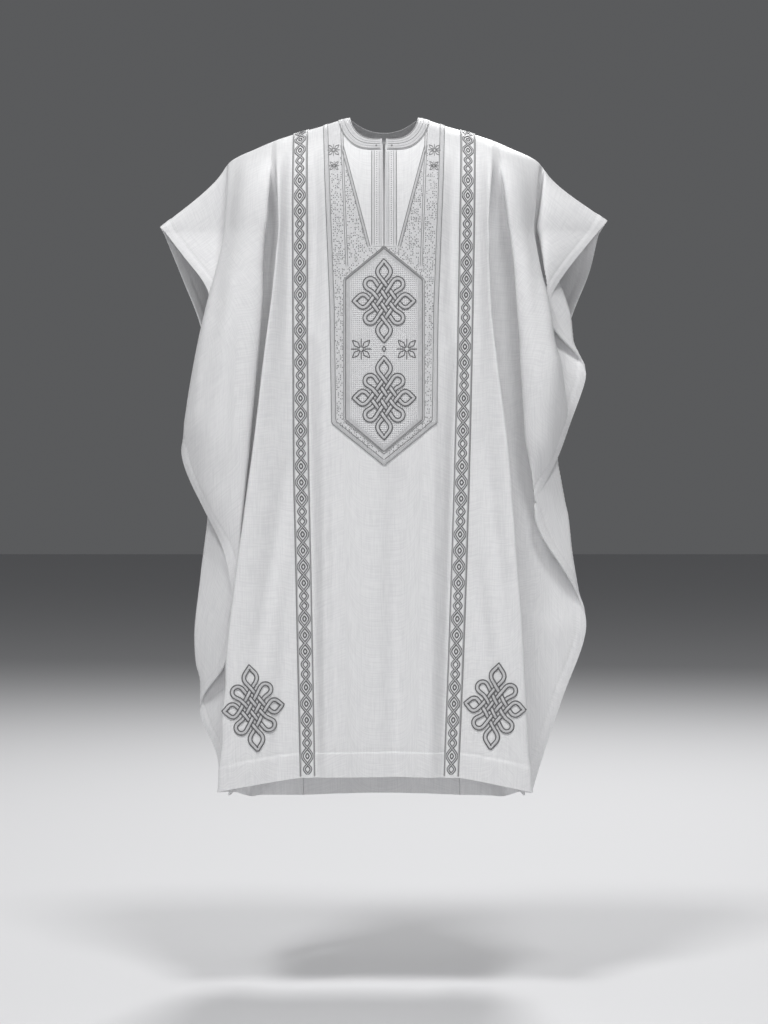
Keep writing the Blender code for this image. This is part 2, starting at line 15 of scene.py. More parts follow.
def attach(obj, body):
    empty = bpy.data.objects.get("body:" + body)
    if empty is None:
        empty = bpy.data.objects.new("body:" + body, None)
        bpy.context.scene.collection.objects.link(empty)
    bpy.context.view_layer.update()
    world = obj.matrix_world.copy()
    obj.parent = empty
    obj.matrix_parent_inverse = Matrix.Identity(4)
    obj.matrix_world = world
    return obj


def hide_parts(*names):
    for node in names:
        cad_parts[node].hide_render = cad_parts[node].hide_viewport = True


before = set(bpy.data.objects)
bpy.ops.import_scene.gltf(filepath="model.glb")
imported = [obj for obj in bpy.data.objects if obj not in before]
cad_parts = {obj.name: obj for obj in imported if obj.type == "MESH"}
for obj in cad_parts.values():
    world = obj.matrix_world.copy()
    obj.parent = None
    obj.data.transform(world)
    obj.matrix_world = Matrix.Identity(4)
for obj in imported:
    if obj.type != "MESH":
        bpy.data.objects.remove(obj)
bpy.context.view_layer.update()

LEFT = -1
RIGHT = 1
SIDES = ((LEFT, "left"), (RIGHT, "right"))

# ===== the camera, floor and light
QUARTER_TURN = math.radians(90)
IMAGE_HEIGHT = 1024
METRES_PER_PIXEL = 0.0019  # at the shoulder line
CAMERA_DISTANCE = 4.5
CAMERA_HEIGHT = -0.7296
SENSOR = 36.0  # millimetres, along the longer side of the picture
FAR_CLIP = 50
FLOOR_HEIGHT = -1.62
FLOOR_REACH = 60.0  # from its middle to each side


def make_camera():
    """A level camera before the robe, at the scale of the shoulder line."""
    data = bpy.data.cameras.new("camera")
    focal_pixels = CAMERA_DISTANCE / METRES_PER_PIXEL
    data.sensor_width = SENSOR
    data.lens = focal_pixels * SENSOR / IMAGE_HEIGHT
    data.clip_end = FAR_CLIP
    camera = bpy.data.objects.new("camera", data)
    camera.location = (0, -CAMERA_DISTANCE, CAMERA_HEIGHT)
    camera.rotation_euler = (QUARTER_TURN, 0, 0)
    bpy.context.scene.collection.objects.link(camera)
    bpy.context.scene.camera = camera


def area_light(name, place, target, size, power):
    """A soft light at a place, turned towards a target."""
    data = bpy.data.lights.new(name, "AREA")
    data.shape = "RECTANGLE"
    data.size, data.size_y = size
    data.energy = power
    light = bpy.data.objects.new(name, data)
    light.location = place
    direction = Vector(target) - light.location
    light.rotation_euler = direction.to_track_quat("-Z", "Y").to_euler()
    bpy.context.scene.collection.objects.link(light)


def make_light():
    """Two soft keys from above, a weak fill in front, a light behind and a grey surround."""
    area_light("left_key", (-2.3, -3.9, 6.8), (0, 0, -0.60), (1.7, 1.7), 305)
    area_light("right_key", (1.4, -3.9, 6.8), (0, 0, -0.60), (1.7, 1.7), 272)
    area_light("front_fill", (0.0, -5.2, 0.2), (0, 0, -0.70), (2.4, 2.0), 26)
    area_light("back", (0.8, 4.6, 3.6), (0, 0, -0.60), (1.6, 1.6), 250)
    world = bpy.data.worlds.new("studio")
    world.use_nodes = True
    background = world.node_tree.nodes["Background"]
    background.inputs["Color"].default_value = (0.60, 0.61, 0.63, 1)
    background.inputs["Strength"].default_value = 0.17
    bpy.context.scene.world = world
    bpy.context.scene.view_settings.view_transform = "Standard"


def new_material(name, values):
    """A material and its shader, with values set on the shader's own sockets."""
    made = bpy.data.materials.new(name)
    made.use_nodes = True
    shader = made.node_tree.nodes["Principled BSDF"]
    for socket, value in values.items():
        shader.inputs[socket].default_value = value
    return made, shader


def make_floor():
    """A plain pale floor."""
    mesh = bpy.data.meshes.new("floor")
    low, high = -FLOOR_REACH, FLOOR_REACH
    mesh.from_pydata([(low, low, 0), (high, low, 0), (high, high, 0), (low, high, 0)], [],
                     [(0, 1, 2, 3)])
    floor = bpy.data.objects.new("floor", mesh)
    floor.location.z = FLOOR_HEIGHT
    bpy.context.scene.collection.objects.link(floor)
    made, _ = new_material("floor", {"Base Color": (0.68, 0.68, 0.69, 1), "Roughness": 0.8})
    mesh.materials.append(made)


# ===== sizes, as in the CAD model
# Only these differ, and their comments say how: the two gaps, the slit, the inner edges of the
# plackets and yokes, and the thickness of the cloth and of what is sewn on it.
Shoulder = namedtuple("Shoulder", "out height")
SHOULDER_LINE = [
    Shoulder(0.000, 0.020), Shoulder(0.065, 0.016), Shoulder(0.112, 0.003),
    Shoulder(0.165, -0.012), Shoulder(0.205, -0.025), Shoulder(0.245, -0.042),
    Shoulder(0.285, -0.060), Shoulder(0.300, -0.073), Shoulder(0.313, -0.093),
]
SLEEVE_TIP = {LEFT: Shoulder(0.425, -0.189), RIGHT: Shoulder(0.424, -0.177)}
ROLL_END = -0.200  # below this height the cloth hangs; above it, it rolls over the shoulder
SHOULDER_GAP = 0.0003  # half the space left at the shoulder seam: less, as this cloth is thinner

Hang = namedtuple("Hang", "height middle seam")
FRONT_HANG = [
    Hang(-0.200, 0.122, 0.106), Hang(-0.400, 0.130, 0.113), Hang(-0.700, 0.140, 0.124),
    Hang(-1.000, 0.156, 0.140), Hang(-1.220, 0.170, 0.155),
]
BACK_HANG = [
    Hang(-0.200, 0.100, 0.090), Hang(-0.450, 0.118, 0.106), Hang(-0.800, 0.140, 0.128),
    Hang(-1.290, 0.182, 0.170),
]
Seam = namedtuple("Seam", "height out")
FRONT_SEAM = {
    LEFT: [Seam(0.0, 0.157), Seam(-0.580, 0.1545), Seam(-0.890, 0.148), Seam(-1.220, 0.140)],
    RIGHT: [Seam(0.0, 0.158), Seam(-0.520, 0.148), Seam(-0.890, 0.137), Seam(-1.220, 0.123)],
}
BACK_SEAM = {
    LEFT: [Seam(0.0, 0.157), Seam(-1.290, 0.158)],
    RIGHT: [Seam(0.0, 0.158), Seam(-1.290, 0.148)],
}
FRONT_HEM = -1.2145
BACK_HEM = -1.2840
HEM_RISE = 0.003
HEM_BLEND = -0.900
FRONT_DROP = ROLL_END - (FRONT_HEM - HEM_RISE)  # from the end of the roll to the front hem
SEAM_GAP = 0.0002  # half the space left at a seam: less, for the same reason
BAND_HALF = 0.0145

Ring = namedtuple("Ring", "half_width front back")
NECK_HOLE = Ring(0.075, 0.086, 0.054)
NECKBAND_INNER = Ring(0.064, 0.080, 0.045)
NECKBAND_OUTER = Ring(0.086, 0.0915, 0.063)
FRONT_SQUARENESS = 3.4  # of the rings: 2 is an ellipse, and more has fuller corners
BACK_SQUARENESS = 2.0
SLIT_END = -0.238
SLIT_HALF_TOP = 0.0031  # this and the next are 0.5 to 0.7 mm more than the CAD's, which is narrow
SLIT_HALF_END = 0.0013

Row = namedtuple("Row", "height out fore")
Line = namedtuple("Line", "name shoulder_out hem_drop rows")
LEFT_FRONT = [
    Line("first crest", 0.2014, 0.0245, [
        Row(-0.200, 0.195, 0.124), Row(-0.320, 0.207, 0.134), Row(-0.444, 0.223, 0.140),
        Row(-0.579, 0.2385, 0.143), Row(-0.727, 0.258, 0.148), Row(-0.891, 0.279, 0.153),
        Row(-1.043, 0.2955, 0.160), Row(-1.220, 0.303, 0.168)]),
    Line("first root", 0.2043, 0.027, [
        Row(-0.200, 0.184, 0.088), Row(-0.320, 0.190, 0.094), Row(-0.444, 0.203, 0.098),
        Row(-0.727, 0.236, 0.104), Row(-0.891, 0.255, 0.110), Row(-1.220, 0.281, 0.128)]),
    Line("under fold", 0.2071, 0.030, [
        Row(-0.200, 0.232, 0.060), Row(-0.320, 0.285, 0.048), Row(-0.460, 0.318, 0.043),
        Row(-0.620, 0.327, 0.043), Row(-0.735, 0.335, 0.045), Row(-0.861, 0.3485, 0.045),
        Row(-0.970, 0.359, 0.045), Row(-1.023, 0.3555, 0.045), Row(-1.081, 0.348, 0.047)]),
    Line("inner fold", 0.2100, 0.030, [
        Row(-0.200, 0.217, 0.106), Row(-0.320, 0.222, 0.112), Row(-0.444, 0.232, 0.118),
        Row(-0.579, 0.244, 0.120), Row(-0.727, 0.256, 0.122), Row(-0.850, 0.268, 0.123),
        Row(-0.930, 0.275, 0.124)]),
    Line("wing", 0.2546, 0.030, [
        Row(-0.200, 0.262, 0.098), Row(-0.320, 0.280, 0.120), Row(-0.444, 0.296, 0.130),
        Row(-0.579, 0.314, 0.128), Row(-0.680, 0.322, 0.112), Row(-0.787, 0.302, 0.098)]),
    Line("side crest", 0.2945, 0.030, [
        Row(-0.200, 0.300, 0.050), Row(-0.272, 0.317, 0.062), Row(-0.318, 0.327, 0.070),
        Row(-0.382, 0.342, 0.075), Row(-0.468, 0.359, 0.075), Row(-0.557, 0.374, 0.070),
        Row(-0.608, 0.381, 0.060)]),
    Line("side root", 0.2980, 0.030, [
        Row(-0.200, 0.283, 0.018), Row(-0.272, 0.296, 0.030), Row(-0.318, 0.304, 0.036),
        Row(-0.400, 0.320, 0.036)]),
    Line("free edge", 0.4250, 0.031, [
        Row(-0.200, 0.414, 0.008), Row(-0.245, 0.380, 0.018), Row(-0.318, 0.329, 0.030),
        Row(-0.400, 0.320, 0.036), Row(-0.500, 0.338, 0.042), Row(-0.575, 0.366, 0.052),
        Row(-0.608, 0.381, 0.060), Row(-0.631, 0.377, 0.064), Row(-0.732, 0.3305, 0.085),
        Row(-0.787, 0.302, 0.098), Row(-0.837, 0.287, 0.110), Row(-0.930, 0.275, 0.124),
        Row(-1.011, 0.298, 0.108), Row(-1.044, 0.331, 0.075), Row(-1.062, 0.343, 0.060),
        Row(-1.081, 0.348, 0.047), Row(-1.165, 0.308, 0.085), Row(-1.220, 0.305, 0.108)]),
]
RIGHT_FRONT = [
    Line("first crest", 0.2033, 0.0255, [
        Row(-0.200, 0.194, 0.124), Row(-0.320, 0.197, 0.134), Row(-0.466, 0.212, 0.140),
        Row(-0.608, 0.230, 0.143), Row(-0.761, 0.241, 0.148), Row(-0.965, 0.256, 0.155),
        Row(-1.133, 0.265, 0.162), Row(-1.220, 0.271, 0.167)]),
    Line("first root", 0.2071, 0.028, [
        Row(-0.200, 0.182, 0.088), Row(-0.320, 0.182, 0.094), Row(-0.466, 0.192, 0.098),
        Row(-0.761, 0.220, 0.104), Row(-0.965, 0.236, 0.112), Row(-1.220, 0.252, 0.125)]),
    Line("under fold", 0.2109, 0.031, [
        Row(-0.200, 0.232, 0.060), Row(-0.320, 0.290, 0.050), Row(-0.460, 0.322, 0.045),
        Row(-0.620, 0.331, 0.045), Row(-0.711, 0.345, 0.045), Row(-0.782, 0.355, 0.045),
        Row(-0.878, 0.369, 0.048), Row(-0.930, 0.381, 0.050)]),
    Line("inner fold", 0.2166, 0.031, [
        Row(-0.200, 0.233, 0.104), Row(-0.320, 0.242, 0.112), Row(-0.466, 0.251, 0.115),
        Row(-0.598, 0.259, 0.110), Row(-0.690, 0.272, 0.102), Row(-0.730, 0.278, 0.095)]),
    Line("wing", 0.2546, 0.031, [
        Row(-0.200, 0.262, 0.094), Row(-0.320, 0.276, 0.120), Row(-0.466, 0.293, 0.132),
        Row(-0.598, 0.300, 0.118), Row(-0.672, 0.301, 0.081)]),
    Line("side crest", 0.2945, 0.031, [
        Row(-0.200, 0.281, 0.052), Row(-0.285, 0.296, 0.076), Row(-0.330, 0.308, 0.088),
        Row(-0.405, 0.320, 0.098), Row(-0.447, 0.330, 0.100), Row(-0.514, 0.343, 0.080),
        Row(-0.566, 0.347, 0.055)]),
    Line("side root", 0.2983, 0.031, [
        Row(-0.200, 0.268, 0.022), Row(-0.285, 0.270, 0.034), Row(-0.405, 0.297, 0.052),
        Row(-0.447, 0.310, 0.064), Row(-0.514, 0.336, 0.062), Row(-0.566, 0.347, 0.055)]),
    Line("back fold", 0.3021, 0.031, [
        Row(-0.200, 0.302, 0.002), Row(-0.295, 0.338, 0.008), Row(-0.349, 0.355, 0.015),
        Row(-0.405, 0.365, 0.022), Row(-0.441, 0.377, 0.030), Row(-0.462, 0.383, 0.035)]),
    Line("sleeve fold", 0.3059, 0.031, [
        Row(-0.200, 0.286, 0.036), Row(-0.285, 0.297, 0.057), Row(-0.360, 0.306, 0.060)]),
    Line("free edge", 0.4240, 0.031, [
        Row(-0.200, 0.404, 0.010), Row(-0.278, 0.341, 0.030), Row(-0.325, 0.312, 0.048),
        Row(-0.360, 0.306, 0.060), Row(-0.399, 0.327, 0.052), Row(-0.428, 0.362, 0.040),
        Row(-0.462, 0.383, 0.035), Row(-0.509, 0.370, 0.040), Row(-0.566, 0.347, 0.055),
        Row(-0.614, 0.330, 0.065), Row(-0.672, 0.301, 0.081), Row(-0.702, 0.285, 0.090),
        Row(-0.730, 0.278, 0.095), Row(-0.770, 0.291, 0.090), Row(-0.831, 0.332, 0.075),
        Row(-0.885, 0.365, 0.060), Row(-0.930, 0.381, 0.050), Row(-1.059, 0.334, 0.070),
        Row(-1.140, 0.302, 0.085), Row(-1.220, 0.273, 0.105)]),
]
LEFT_BACK = [
    Line("first crest", 0.195, 0.004, [
        Row(-0.200, 0.196, -0.108), Row(-0.600, 0.212, -0.146), Row(-1.290, 0.244, -0.205)]),
    Line("first root", 0.222, -0.002, [
        Row(-0.200, 0.232, -0.082), Row(-0.600, 0.240, -0.098), Row(-1.290, 0.262, -0.132)]),
    Line("side crest", 0.270, -0.008, [
        Row(-0.200, 0.292, -0.078), Row(-0.600, 0.292, -0.112), Row(-1.290, 0.290, -0.148)]),
    Line("free edge", 0.425, -0.012, [
        Row(-0.200, 0.418, -0.010), Row(-0.293, 0.381, -0.030), Row(-0.374, 0.350, -0.040),
        Row(-0.460, 0.335, -0.040), Row(-0.620, 0.330, -0.042), Row(-0.800, 0.315, -0.045),
        Row(-0.970, 0.335, -0.045), Row(-1.080, 0.325, -0.048), Row(-1.160, 0.300, -0.052),
        Row(-1.290, 0.298, -0.060)]),
]
RIGHT_BACK = [
    Line("first crest", 0.195, 0.005, [
        Row(-0.200, 0.196, -0.106), Row(-0.600, 0.206, -0.142), Row(-1.290, 0.210, -0.203)]),
    Line("first root", 0.225, -0.002, [
        Row(-0.200, 0.234, -0.080), Row(-0.600, 0.238, -0.096), Row(-1.290, 0.236, -0.134)]),
    Line("side crest", 0.270, -0.008, [
        Row(-0.200, 0.288, -0.076), Row(-0.600, 0.280, -0.108), Row(-1.290, 0.262, -0.150)]),
    Line("free edge", 0.424, -0.012, [
        Row(-0.200, 0.408, -0.012), Row(-0.262, 0.396, -0.042), Row(-0.350, 0.361, -0.045),
        Row(-0.460, 0.330, -0.040), Row(-0.620, 0.310, -0.040), Row(-0.730, 0.303, -0.045),
        Row(-0.930, 0.335, -0.045), Row(-1.060, 0.312, -0.048), Row(-1.200, 0.272, -0.054),
        Row(-1.290, 0.270, -0.060)]),
]
# A section of a side panel has lead points before its folds: its seam and, in front, the edge of
# the band. Its first fixed columns aren't eased, so the cloth under a band lies where the band does.
Facing = namedtuple("Facing", "sign layer lead fixed hang seam hem lines hole_depth squareness")
FRONT = Facing(1, "front", 2, 8, FRONT_HANG, FRONT_SEAM, FRONT_HEM,
               {LEFT: LEFT_FRONT, RIGHT: RIGHT_FRONT}, NECK_HOLE.front, FRONT_SQUARENESS)
BACK = Facing(-1, "back", 1, 2, BACK_HANG, BACK_SEAM, BACK_HEM,
              {LEFT: LEFT_BACK, RIGHT: RIGHT_BACK}, NECK_HOLE.back, BACK_SQUARENESS)

# ----- cloth as it is seen
CLOTH = 0.0011  # thickness of the damask, which is 2 mm in the CAD
HEM_CLOTH = 0.0034  # where it is turned in and sewn
EDGE_HEM = 0.021  # width of the hem down a free edge
HEM_TURNING = 0.046  # depth of the hem along the bottom
NO_EDGE = 1.0  # the distance given where there is no free edge
GROOVE = 0.00216  # how much thinner the cloth is along a line of stitches
TURN_REACH = 0.0012  # over which a hem grows thick
GROOVE_REACH = 0.0014  # over which its groove fades
BESIDE_STITCHES = 0.0015  # from a hem's line of stitches to the points on each side of it
ABOVE_STITCHES = 0.003  # from the upper of those rows to the next, along the bottom hem
RIM = 0.002  # from a free edge to the points next to it
SEAM_DIP = 0.0009  # how far a panel dips where it is turned in along a seam
SHOULDER_DIP_REACH = 0.0035  # over which the dip fades, away from the shoulder seam
SEAM_DIP_REACH = 0.0030  # and away from the seams that run down
SECTION_STEPS = 20
ROLL_ROWS = 34
HANG_ROWS = 116
HEM_ROWS = 8
SIDE_COLUMNS = {"front": 150, "back": 90}
MIDDLE_COLUMNS = 44
NECK_CORNER = (0.062, 0.080)  # how far out the neck hole's corner begins and ends
CORNER_COLUMNS = 15  # of the middle columns up to its beginning, and again up to its end
EASE_TIMES = 6
TINY = 1e-12
SAME_HEIGHT = 1e-6
SAME_POINT = 6  # decimals of a metre to which points that coincide agree
SHARP = math.radians(55)  # edges that turn more than this aren't shaded smooth


# ===== curves and surfaces
def hermite(start, leaving, end, arriving, t):
    """A curve from start to end, at shares t of the way, by its speeds at the two ends."""
    return (
        start * (1 + 2 * t) * (1 - t) ** 2 + leaving * t * (1 - t) ** 2
        + end * t * t * (3 - 2 * t) + arriving * t * t * (t - 1)
    )


def smooth(rows, at):
    """The columns after the first, read off a smooth curve through the rows at first values."""
    table = np.array(sorted(tuple(row) for row in rows), float)
    keys, values = table[:, 0], table[:, 1:]
    at = np.clip(np.asarray(at, float), keys[0], keys[-1])
    i = np.clip(np.searchsorted(keys, at, side="right") - 1, 0, len(keys) - 2)
    span = np.diff(keys)
    slopes = np.diff(values, axis=0) / span[:, None]
    tangents = np.empty_like(values)
    tangents[0], tangents[-1] = slopes[0], slopes[-1]
    a, b = slopes[:-1], slopes[1:]
    total = np.where(np.abs(a + b) < TINY, 1.0, a + b)
    tangents[1:-1] = np.where(a * b <= 0, 0.0, 2 * a * b / total)
    t = ((at - keys[i]) / span[i])[..., None]
    step = span[i][..., None]
    return hermite(values[i], step * tangents[i], values[i + 1], step * tangents[i + 1], t)


def by_side(tables, x, at):
    """The first value of a left or a right table, for points on both sides."""
    left = smooth(tables[LEFT], at)[..., 0]
    right = smooth(tables[RIGHT], at)[..., 0]
    return np.where(np.asarray(x) > 0, right, left)


SHOULDERS = {side: SHOULDER_LINE + [SLEEVE_TIP[side]] for side, _ in SIDES}


def shoulder_height(x):
    """The height of the shoulder line above each x."""
    return by_side(SHOULDERS, x, np.abs(x))


def seam_out(facing, side, height):
    """How far out a seam is at one height."""
    return float(smooth(facing.seam[side], height)[0])


def unit(vectors):
    """Vectors of the same directions, with the length 1."""
    return vectors / np.maximum(np.linalg.norm(vectors, axis=-1, keepdims=True), TINY)


def middle_depth(facing, x, height):
    """How far a middle panel hangs from the shoulder line, between its middle and its seam."""
    depths = smooth(facing.hang, height)
    reach = np.abs(x) / by_side(facing.seam, x, height)
    return depths[..., 0] + (depths[..., 1] - depths[..., 0]) * reach * reach


def centripetal(points, steps):
    """A rounded line through points, with the same number of steps to each."""
    line = np.vstack([2 * points[0] - points[1], points, 2 * points[-1] - points[-2]])
    t = np.arange(1, steps + 1)[:, None] / steps
    made = [points[:1]]
    for a, b, c, d in zip(line, line[1:], line[2:], line[3:]):
        before = math.sqrt(np.linalg.norm(b - a)) or 1.0
        between = math.sqrt(np.linalg.norm(c - b)) or 1.0
        after = math.sqrt(np.linalg.norm(d - c)) or 1.0
        start = (c - b) + between * ((b - a) / before - (c - a) / (before + between))
        end = (c - b) + between * ((d - c) / after - (d - b) / (between + after))
        made.append(hermite(b, start, c, end, t))
    return np.vstack(made)


def lengths_along(points):
    """The distance from the first point to each, along a line."""
    return np.concatenate([[0], np.cumsum(np.linalg.norm(np.diff(points, axis=0), axis=1))])


def read_at(at, along, table):
    """The rows of a table that lie at distances along, read at other distances."""
    return np.stack([np.interp(at, along, column) for column in table.T], 1)


def arc_stations(total, count):
    """Where the columns of a side panel lie: even, then close together over the edge's hem."""
    hem = [EDGE_HEM + BESIDE_STITCHES, EDGE_HEM, EDGE_HEM - BESIDE_STITCHES, EDGE_HEM / 2, RIM, 0.0]
    even = np.linspace(0, total - hem[0] - RIM, count - len(hem))
    return np.concatenate([even, total - np.array(hem)])


def hang_heights(facing):
    """The heights of the hanging rows, close together over the line of the bottom hem."""
    hem = facing.hem - HEM_RISE
    stitches = hem + HEM_TURNING
    line = [stitches + BESIDE_STITCHES, stitches, stitches - BESIDE_STITCHES]
    upper = np.linspace(ROLL_END, line[0] + ABOVE_STITCHES, HANG_ROWS)[1:]
    lower = np.linspace(line[2] - RIM, hem + RIM, HEM_ROWS)
    return np.concatenate([upper, line, lower, [hem]])


def hem_blend(facing, height):
    """How much of the hem's own rise or drop is felt at a height: 0 high up, and 1 at the hem."""
    return np.clip((HEM_BLEND - height) / (HEM_BLEND - facing.hem + HEM_RISE), 0, None)


def eased(grid, times, fixed_columns):
    """A grid of points with its small kinks smoothed, its seam and its outer edges kept."""
    for _ in range(times):
        inner = grid[1:-1, 1:-1]
        around = (grid[:-2, 1:-1] + grid[2:, 1:-1] + grid[1:-1, :-2] + grid[1:-1, 2:]) / 4
        moved = inner + 0.5 * (around - inner)
        edge = (grid[:-2, -1] + grid[2:, -1]) / 2
        moved_edge = grid[1:-1, -1] + 0.5 * (edge - grid[1:-1, -1])
        keep = grid[1:-1, 1:1 + fixed_columns].copy()
        grid[1:-1, 1:-1] = moved
        grid[1:-1, 1:1 + fixed_columns] = keep
        grid[1:-1, -1] = moved_edge
    return grid


Sheet = namedtuple("Sheet", "points across down edge_distance hem_distance")


def cloth_down(grid):
    """The length of cloth above each point of a grid, down its columns."""
    steps = np.linalg.norm(np.diff(grid, axis=0), axis=2)
    return np.vstack([np.zeros(grid.shape[1]), np.cumsum(steps, axis=0)])


def finished_sheet(grid, across):
    """A sheet's points with the distances that its hems and its weave are read from."""
    down = cloth_down(grid)
    return Sheet(grid, across, down, across[:, -1:] - across, down[-1:] - down)


def hem_profile(distance, width):
    """Thickness share and groove of a hem: 1 inside the turning, and a dip at its stitches."""
    turned = 0.5 - 0.5 * np.tanh((distance - width) / TURN_REACH)
    groove = np.exp(-((distance - width) / GROOVE_REACH) ** 2)
    return turned, groove


# ----- soft creases
# A crease is a soft ridge (height above 0) or trough (below 0) between two places on one layer of
# the cloth, seen from in front of that layer. Its ends fade out.
Crease = namedtuple("Crease", "layer top top_x bottom bottom_x half_width height")
CREASES = [
    # the middle panel and its seams: a valley beside each band, a ridge beside each valley
    Crease("front", -0.050, -0.129, -0.400, -0.129, 0.012, -0.0125),
    Crease("front", -0.060, 0.127, -0.420, 0.124, 0.012, -0.0125),
    Crease("front", -0.280, -0.141, -1.310, -0.124, 0.013, -0.0150),
    Crease("front", -0.300, 0.138, -1.310, 0.106, 0.013, -0.0155),
    Crease("front", -0.460, -0.110, -1.320, -0.105, 0.009, 0.0088),
    Crease("front", -0.430, 0.092, -1.320, 0.083, 0.010, 0.0084),
    Crease("front", -0.640, 0.018, -1.330, 0.024, 0.022, -0.0145),
    Crease("front", -0.700, -0.062, -1.290, -0.054, 0.020, 0.0050),
    # the side panels, between their seam and their first crest
    Crease("front", -0.060, -0.181, -0.470, -0.184, 0.010, -0.0055),
    Crease("front", -0.620, -0.178, -1.030, -0.236, 0.016, -0.0085),
    Crease("front", -0.820, -0.176, -1.240, -0.198, 0.012, -0.0055),
    Crease("front", -0.060, 0.186, -0.520, 0.178, 0.010, -0.0050),
    Crease("front", -0.560, 0.187, -0.980, 0.226, 0.013, -0.0070),
    Crease("front", -0.800, 0.168, -1.180, 0.206, 0.014, -0.0070),
    # the wings
    Crease("wing", -0.030, -0.274, -0.430, -0.318, 0.014, -0.0075),
    Crease("wing", -0.220, -0.262, -0.720, -0.282, 0.013, -0.0050),
    Crease("wing", -0.300, -0.338, -0.590, -0.352, 0.011, 0.0040),
    Crease("wing", -0.030, 0.262, -0.520, 0.296, 0.014, -0.0080),
    Crease("wing", -0.150, 0.242, -0.560, 0.262, 0.010, -0.0045),
    Crease("wing", -0.330, 0.310, -0.560, 0.322, 0.010, 0.0035),
    # the back, where nothing is seen: creases like those of the front
    Crease("back", -0.040, -0.118, -0.620, -0.112, 0.016, -0.0085),
    Crease("back", -0.040, 0.112, -0.540, 0.120, 0.015, -0.0080),
    Crease("back", -0.360, -0.058, -1.340, -0.078, 0.022, -0.0075),
    Crease("back", -0.480, 0.046, -1.350, 0.060, 0.024, -0.0085),
    Crease("back", -0.560, -0.012, -1.300, -0.006, 0.020, 0.0045),
    Crease("back", -0.700, 0.122, -1.340, 0.112, 0.015, -0.0060),
    Crease("back", -0.640, -0.132, -1.320, -0.128, 0.013, -0.0055),
    Crease("back", -0.150, 0.176, -0.720, 0.186, 0.012, -0.0050),
    Crease("back", -0.200, -0.178, -0.860, -0.192, 0.013, -0.0055),
]
Layer = namedtuple("Layer", "first last")
LAYERS = {"front": Layer("seam", "first crest"), "wing": Layer("inner fold", "side crest")}
LAYER_FADE = 0.4  # over this much of a fold's number a layer fades at its ends
CREASE_FADE = 0.7  # less makes a crease reach its full height sooner along its length


def crease_depth(layer, x, height):
    """How far the creases of a layer push it outwards at each place."""
    x, height = np.broadcast_arrays(np.asarray(x, float), np.asarray(height, float))
    total = np.zeros(x.shape)
    for crease in CREASES:
        if crease.layer != layer:
            continue
        along = np.clip((crease.top - height) / (crease.top - crease.bottom), 0, 1)
        centre = crease.top_x + (crease.bottom_x - crease.top_x) * along
        fade = np.sin(math.pi * along) ** CREASE_FADE
        total += crease.height * fade * np.exp(-((x - centre) / crease.half_width) ** 2)
    return total


# ----- side panels
def section(facing, side, height):
    """The rounded line of a side panel at one height, and the number of the fold at each point."""
    out = seam_out(facing, side, height)
    fore = facing.sign * float(smooth(facing.hang, height)[1])
    keys = [(0, out + SEAM_GAP, fore, 0.0), (1, out + BAND_HALF, fore, 0.0)][:facing.lead]
    folds = facing.lines[side]
    for number, fold in enumerate(folds, facing.lead):
        # a fold ends where it meets the free edge, which is the last line
        if fold is folds[-1] or height > fold.rows[-1].height + SAME_HEIGHT:
            keys.append((number, *smooth(fold.rows, height), -fold.hem_drop))
    keys = np.array(keys)
    line = centripetal(keys[:, 1:], SECTION_STEPS)
    number = np.interp(np.arange(len(line)) / SECTION_STEPS, np.arange(len(keys)), keys[:, 0])
    return line, number


def fold_number(facing, side, name):
    """The number of a named fold, counted from the seam."""
    if name == "seam":
        return 0
    return facing.lead + [line.name for line in facing.lines[side]].index(name)


def layer_share(facing, side, layer, number):
    """1 between the first and last folds of a layer, falling to 0 at both, but not at a seam."""
    first = fold_number(facing, side, LAYERS[layer].first)
    last = fold_number(facing, side, LAYERS[layer].last)
    rise = 1.0 if first == 0 else np.clip((number - first) / LAYER_FADE, 0, 1)
    return rise * np.clip((last - number) / LAYER_FADE, 0, 1)


PLEAT_SHUT = math.radians(38)  # how far the cloth has turned over the shoulder where a pleat opens
PLEAT_OPEN = math.radians(84)


def shut(facing, side, points, number, angle):
    """Closes the deep first pleat of a front panel where it lies flat over the shoulder."""
    if facing is BACK:
        return points
    first = fold_number(facing, side, "first crest")
    last = fold_number(facing, side, "inner fold")
    within = (number > first) & (number < last)
    share = np.clip((number - first) / (last - first), 0, 1)
    start, end = read_at((first, last), number, points)
    flat = start + (end - start) * share[:, None]
    opened = np.clip((angle - PLEAT_SHUT) / (PLEAT_OPEN - PLEAT_SHUT), 0, 1)
    opened = opened * opened * (3 - 2 * opened)
    return np.where(within[:, None], flat + (points - flat) * opened, points)


def creased(facing, side, x, height, number):
    """How far the creases push a side panel outwards."""
    if facing is BACK:
        return -crease_depth("back", x, height) * (number < fold_number(facing, side, "first root"))
    return sum(
        crease_depth(layer, x, height) * layer_share(facing, side, layer, number)
        for layer in LAYERS
    )


def panel_columns(line, count, *more):
    """Where a side panel's columns lie along a section, and what its line and more are there."""
    along = lengths_along(line)
    stations = arc_stations(along[-1], count)
    return stations, read_at(stations, along, np.column_stack([line, *more])).T


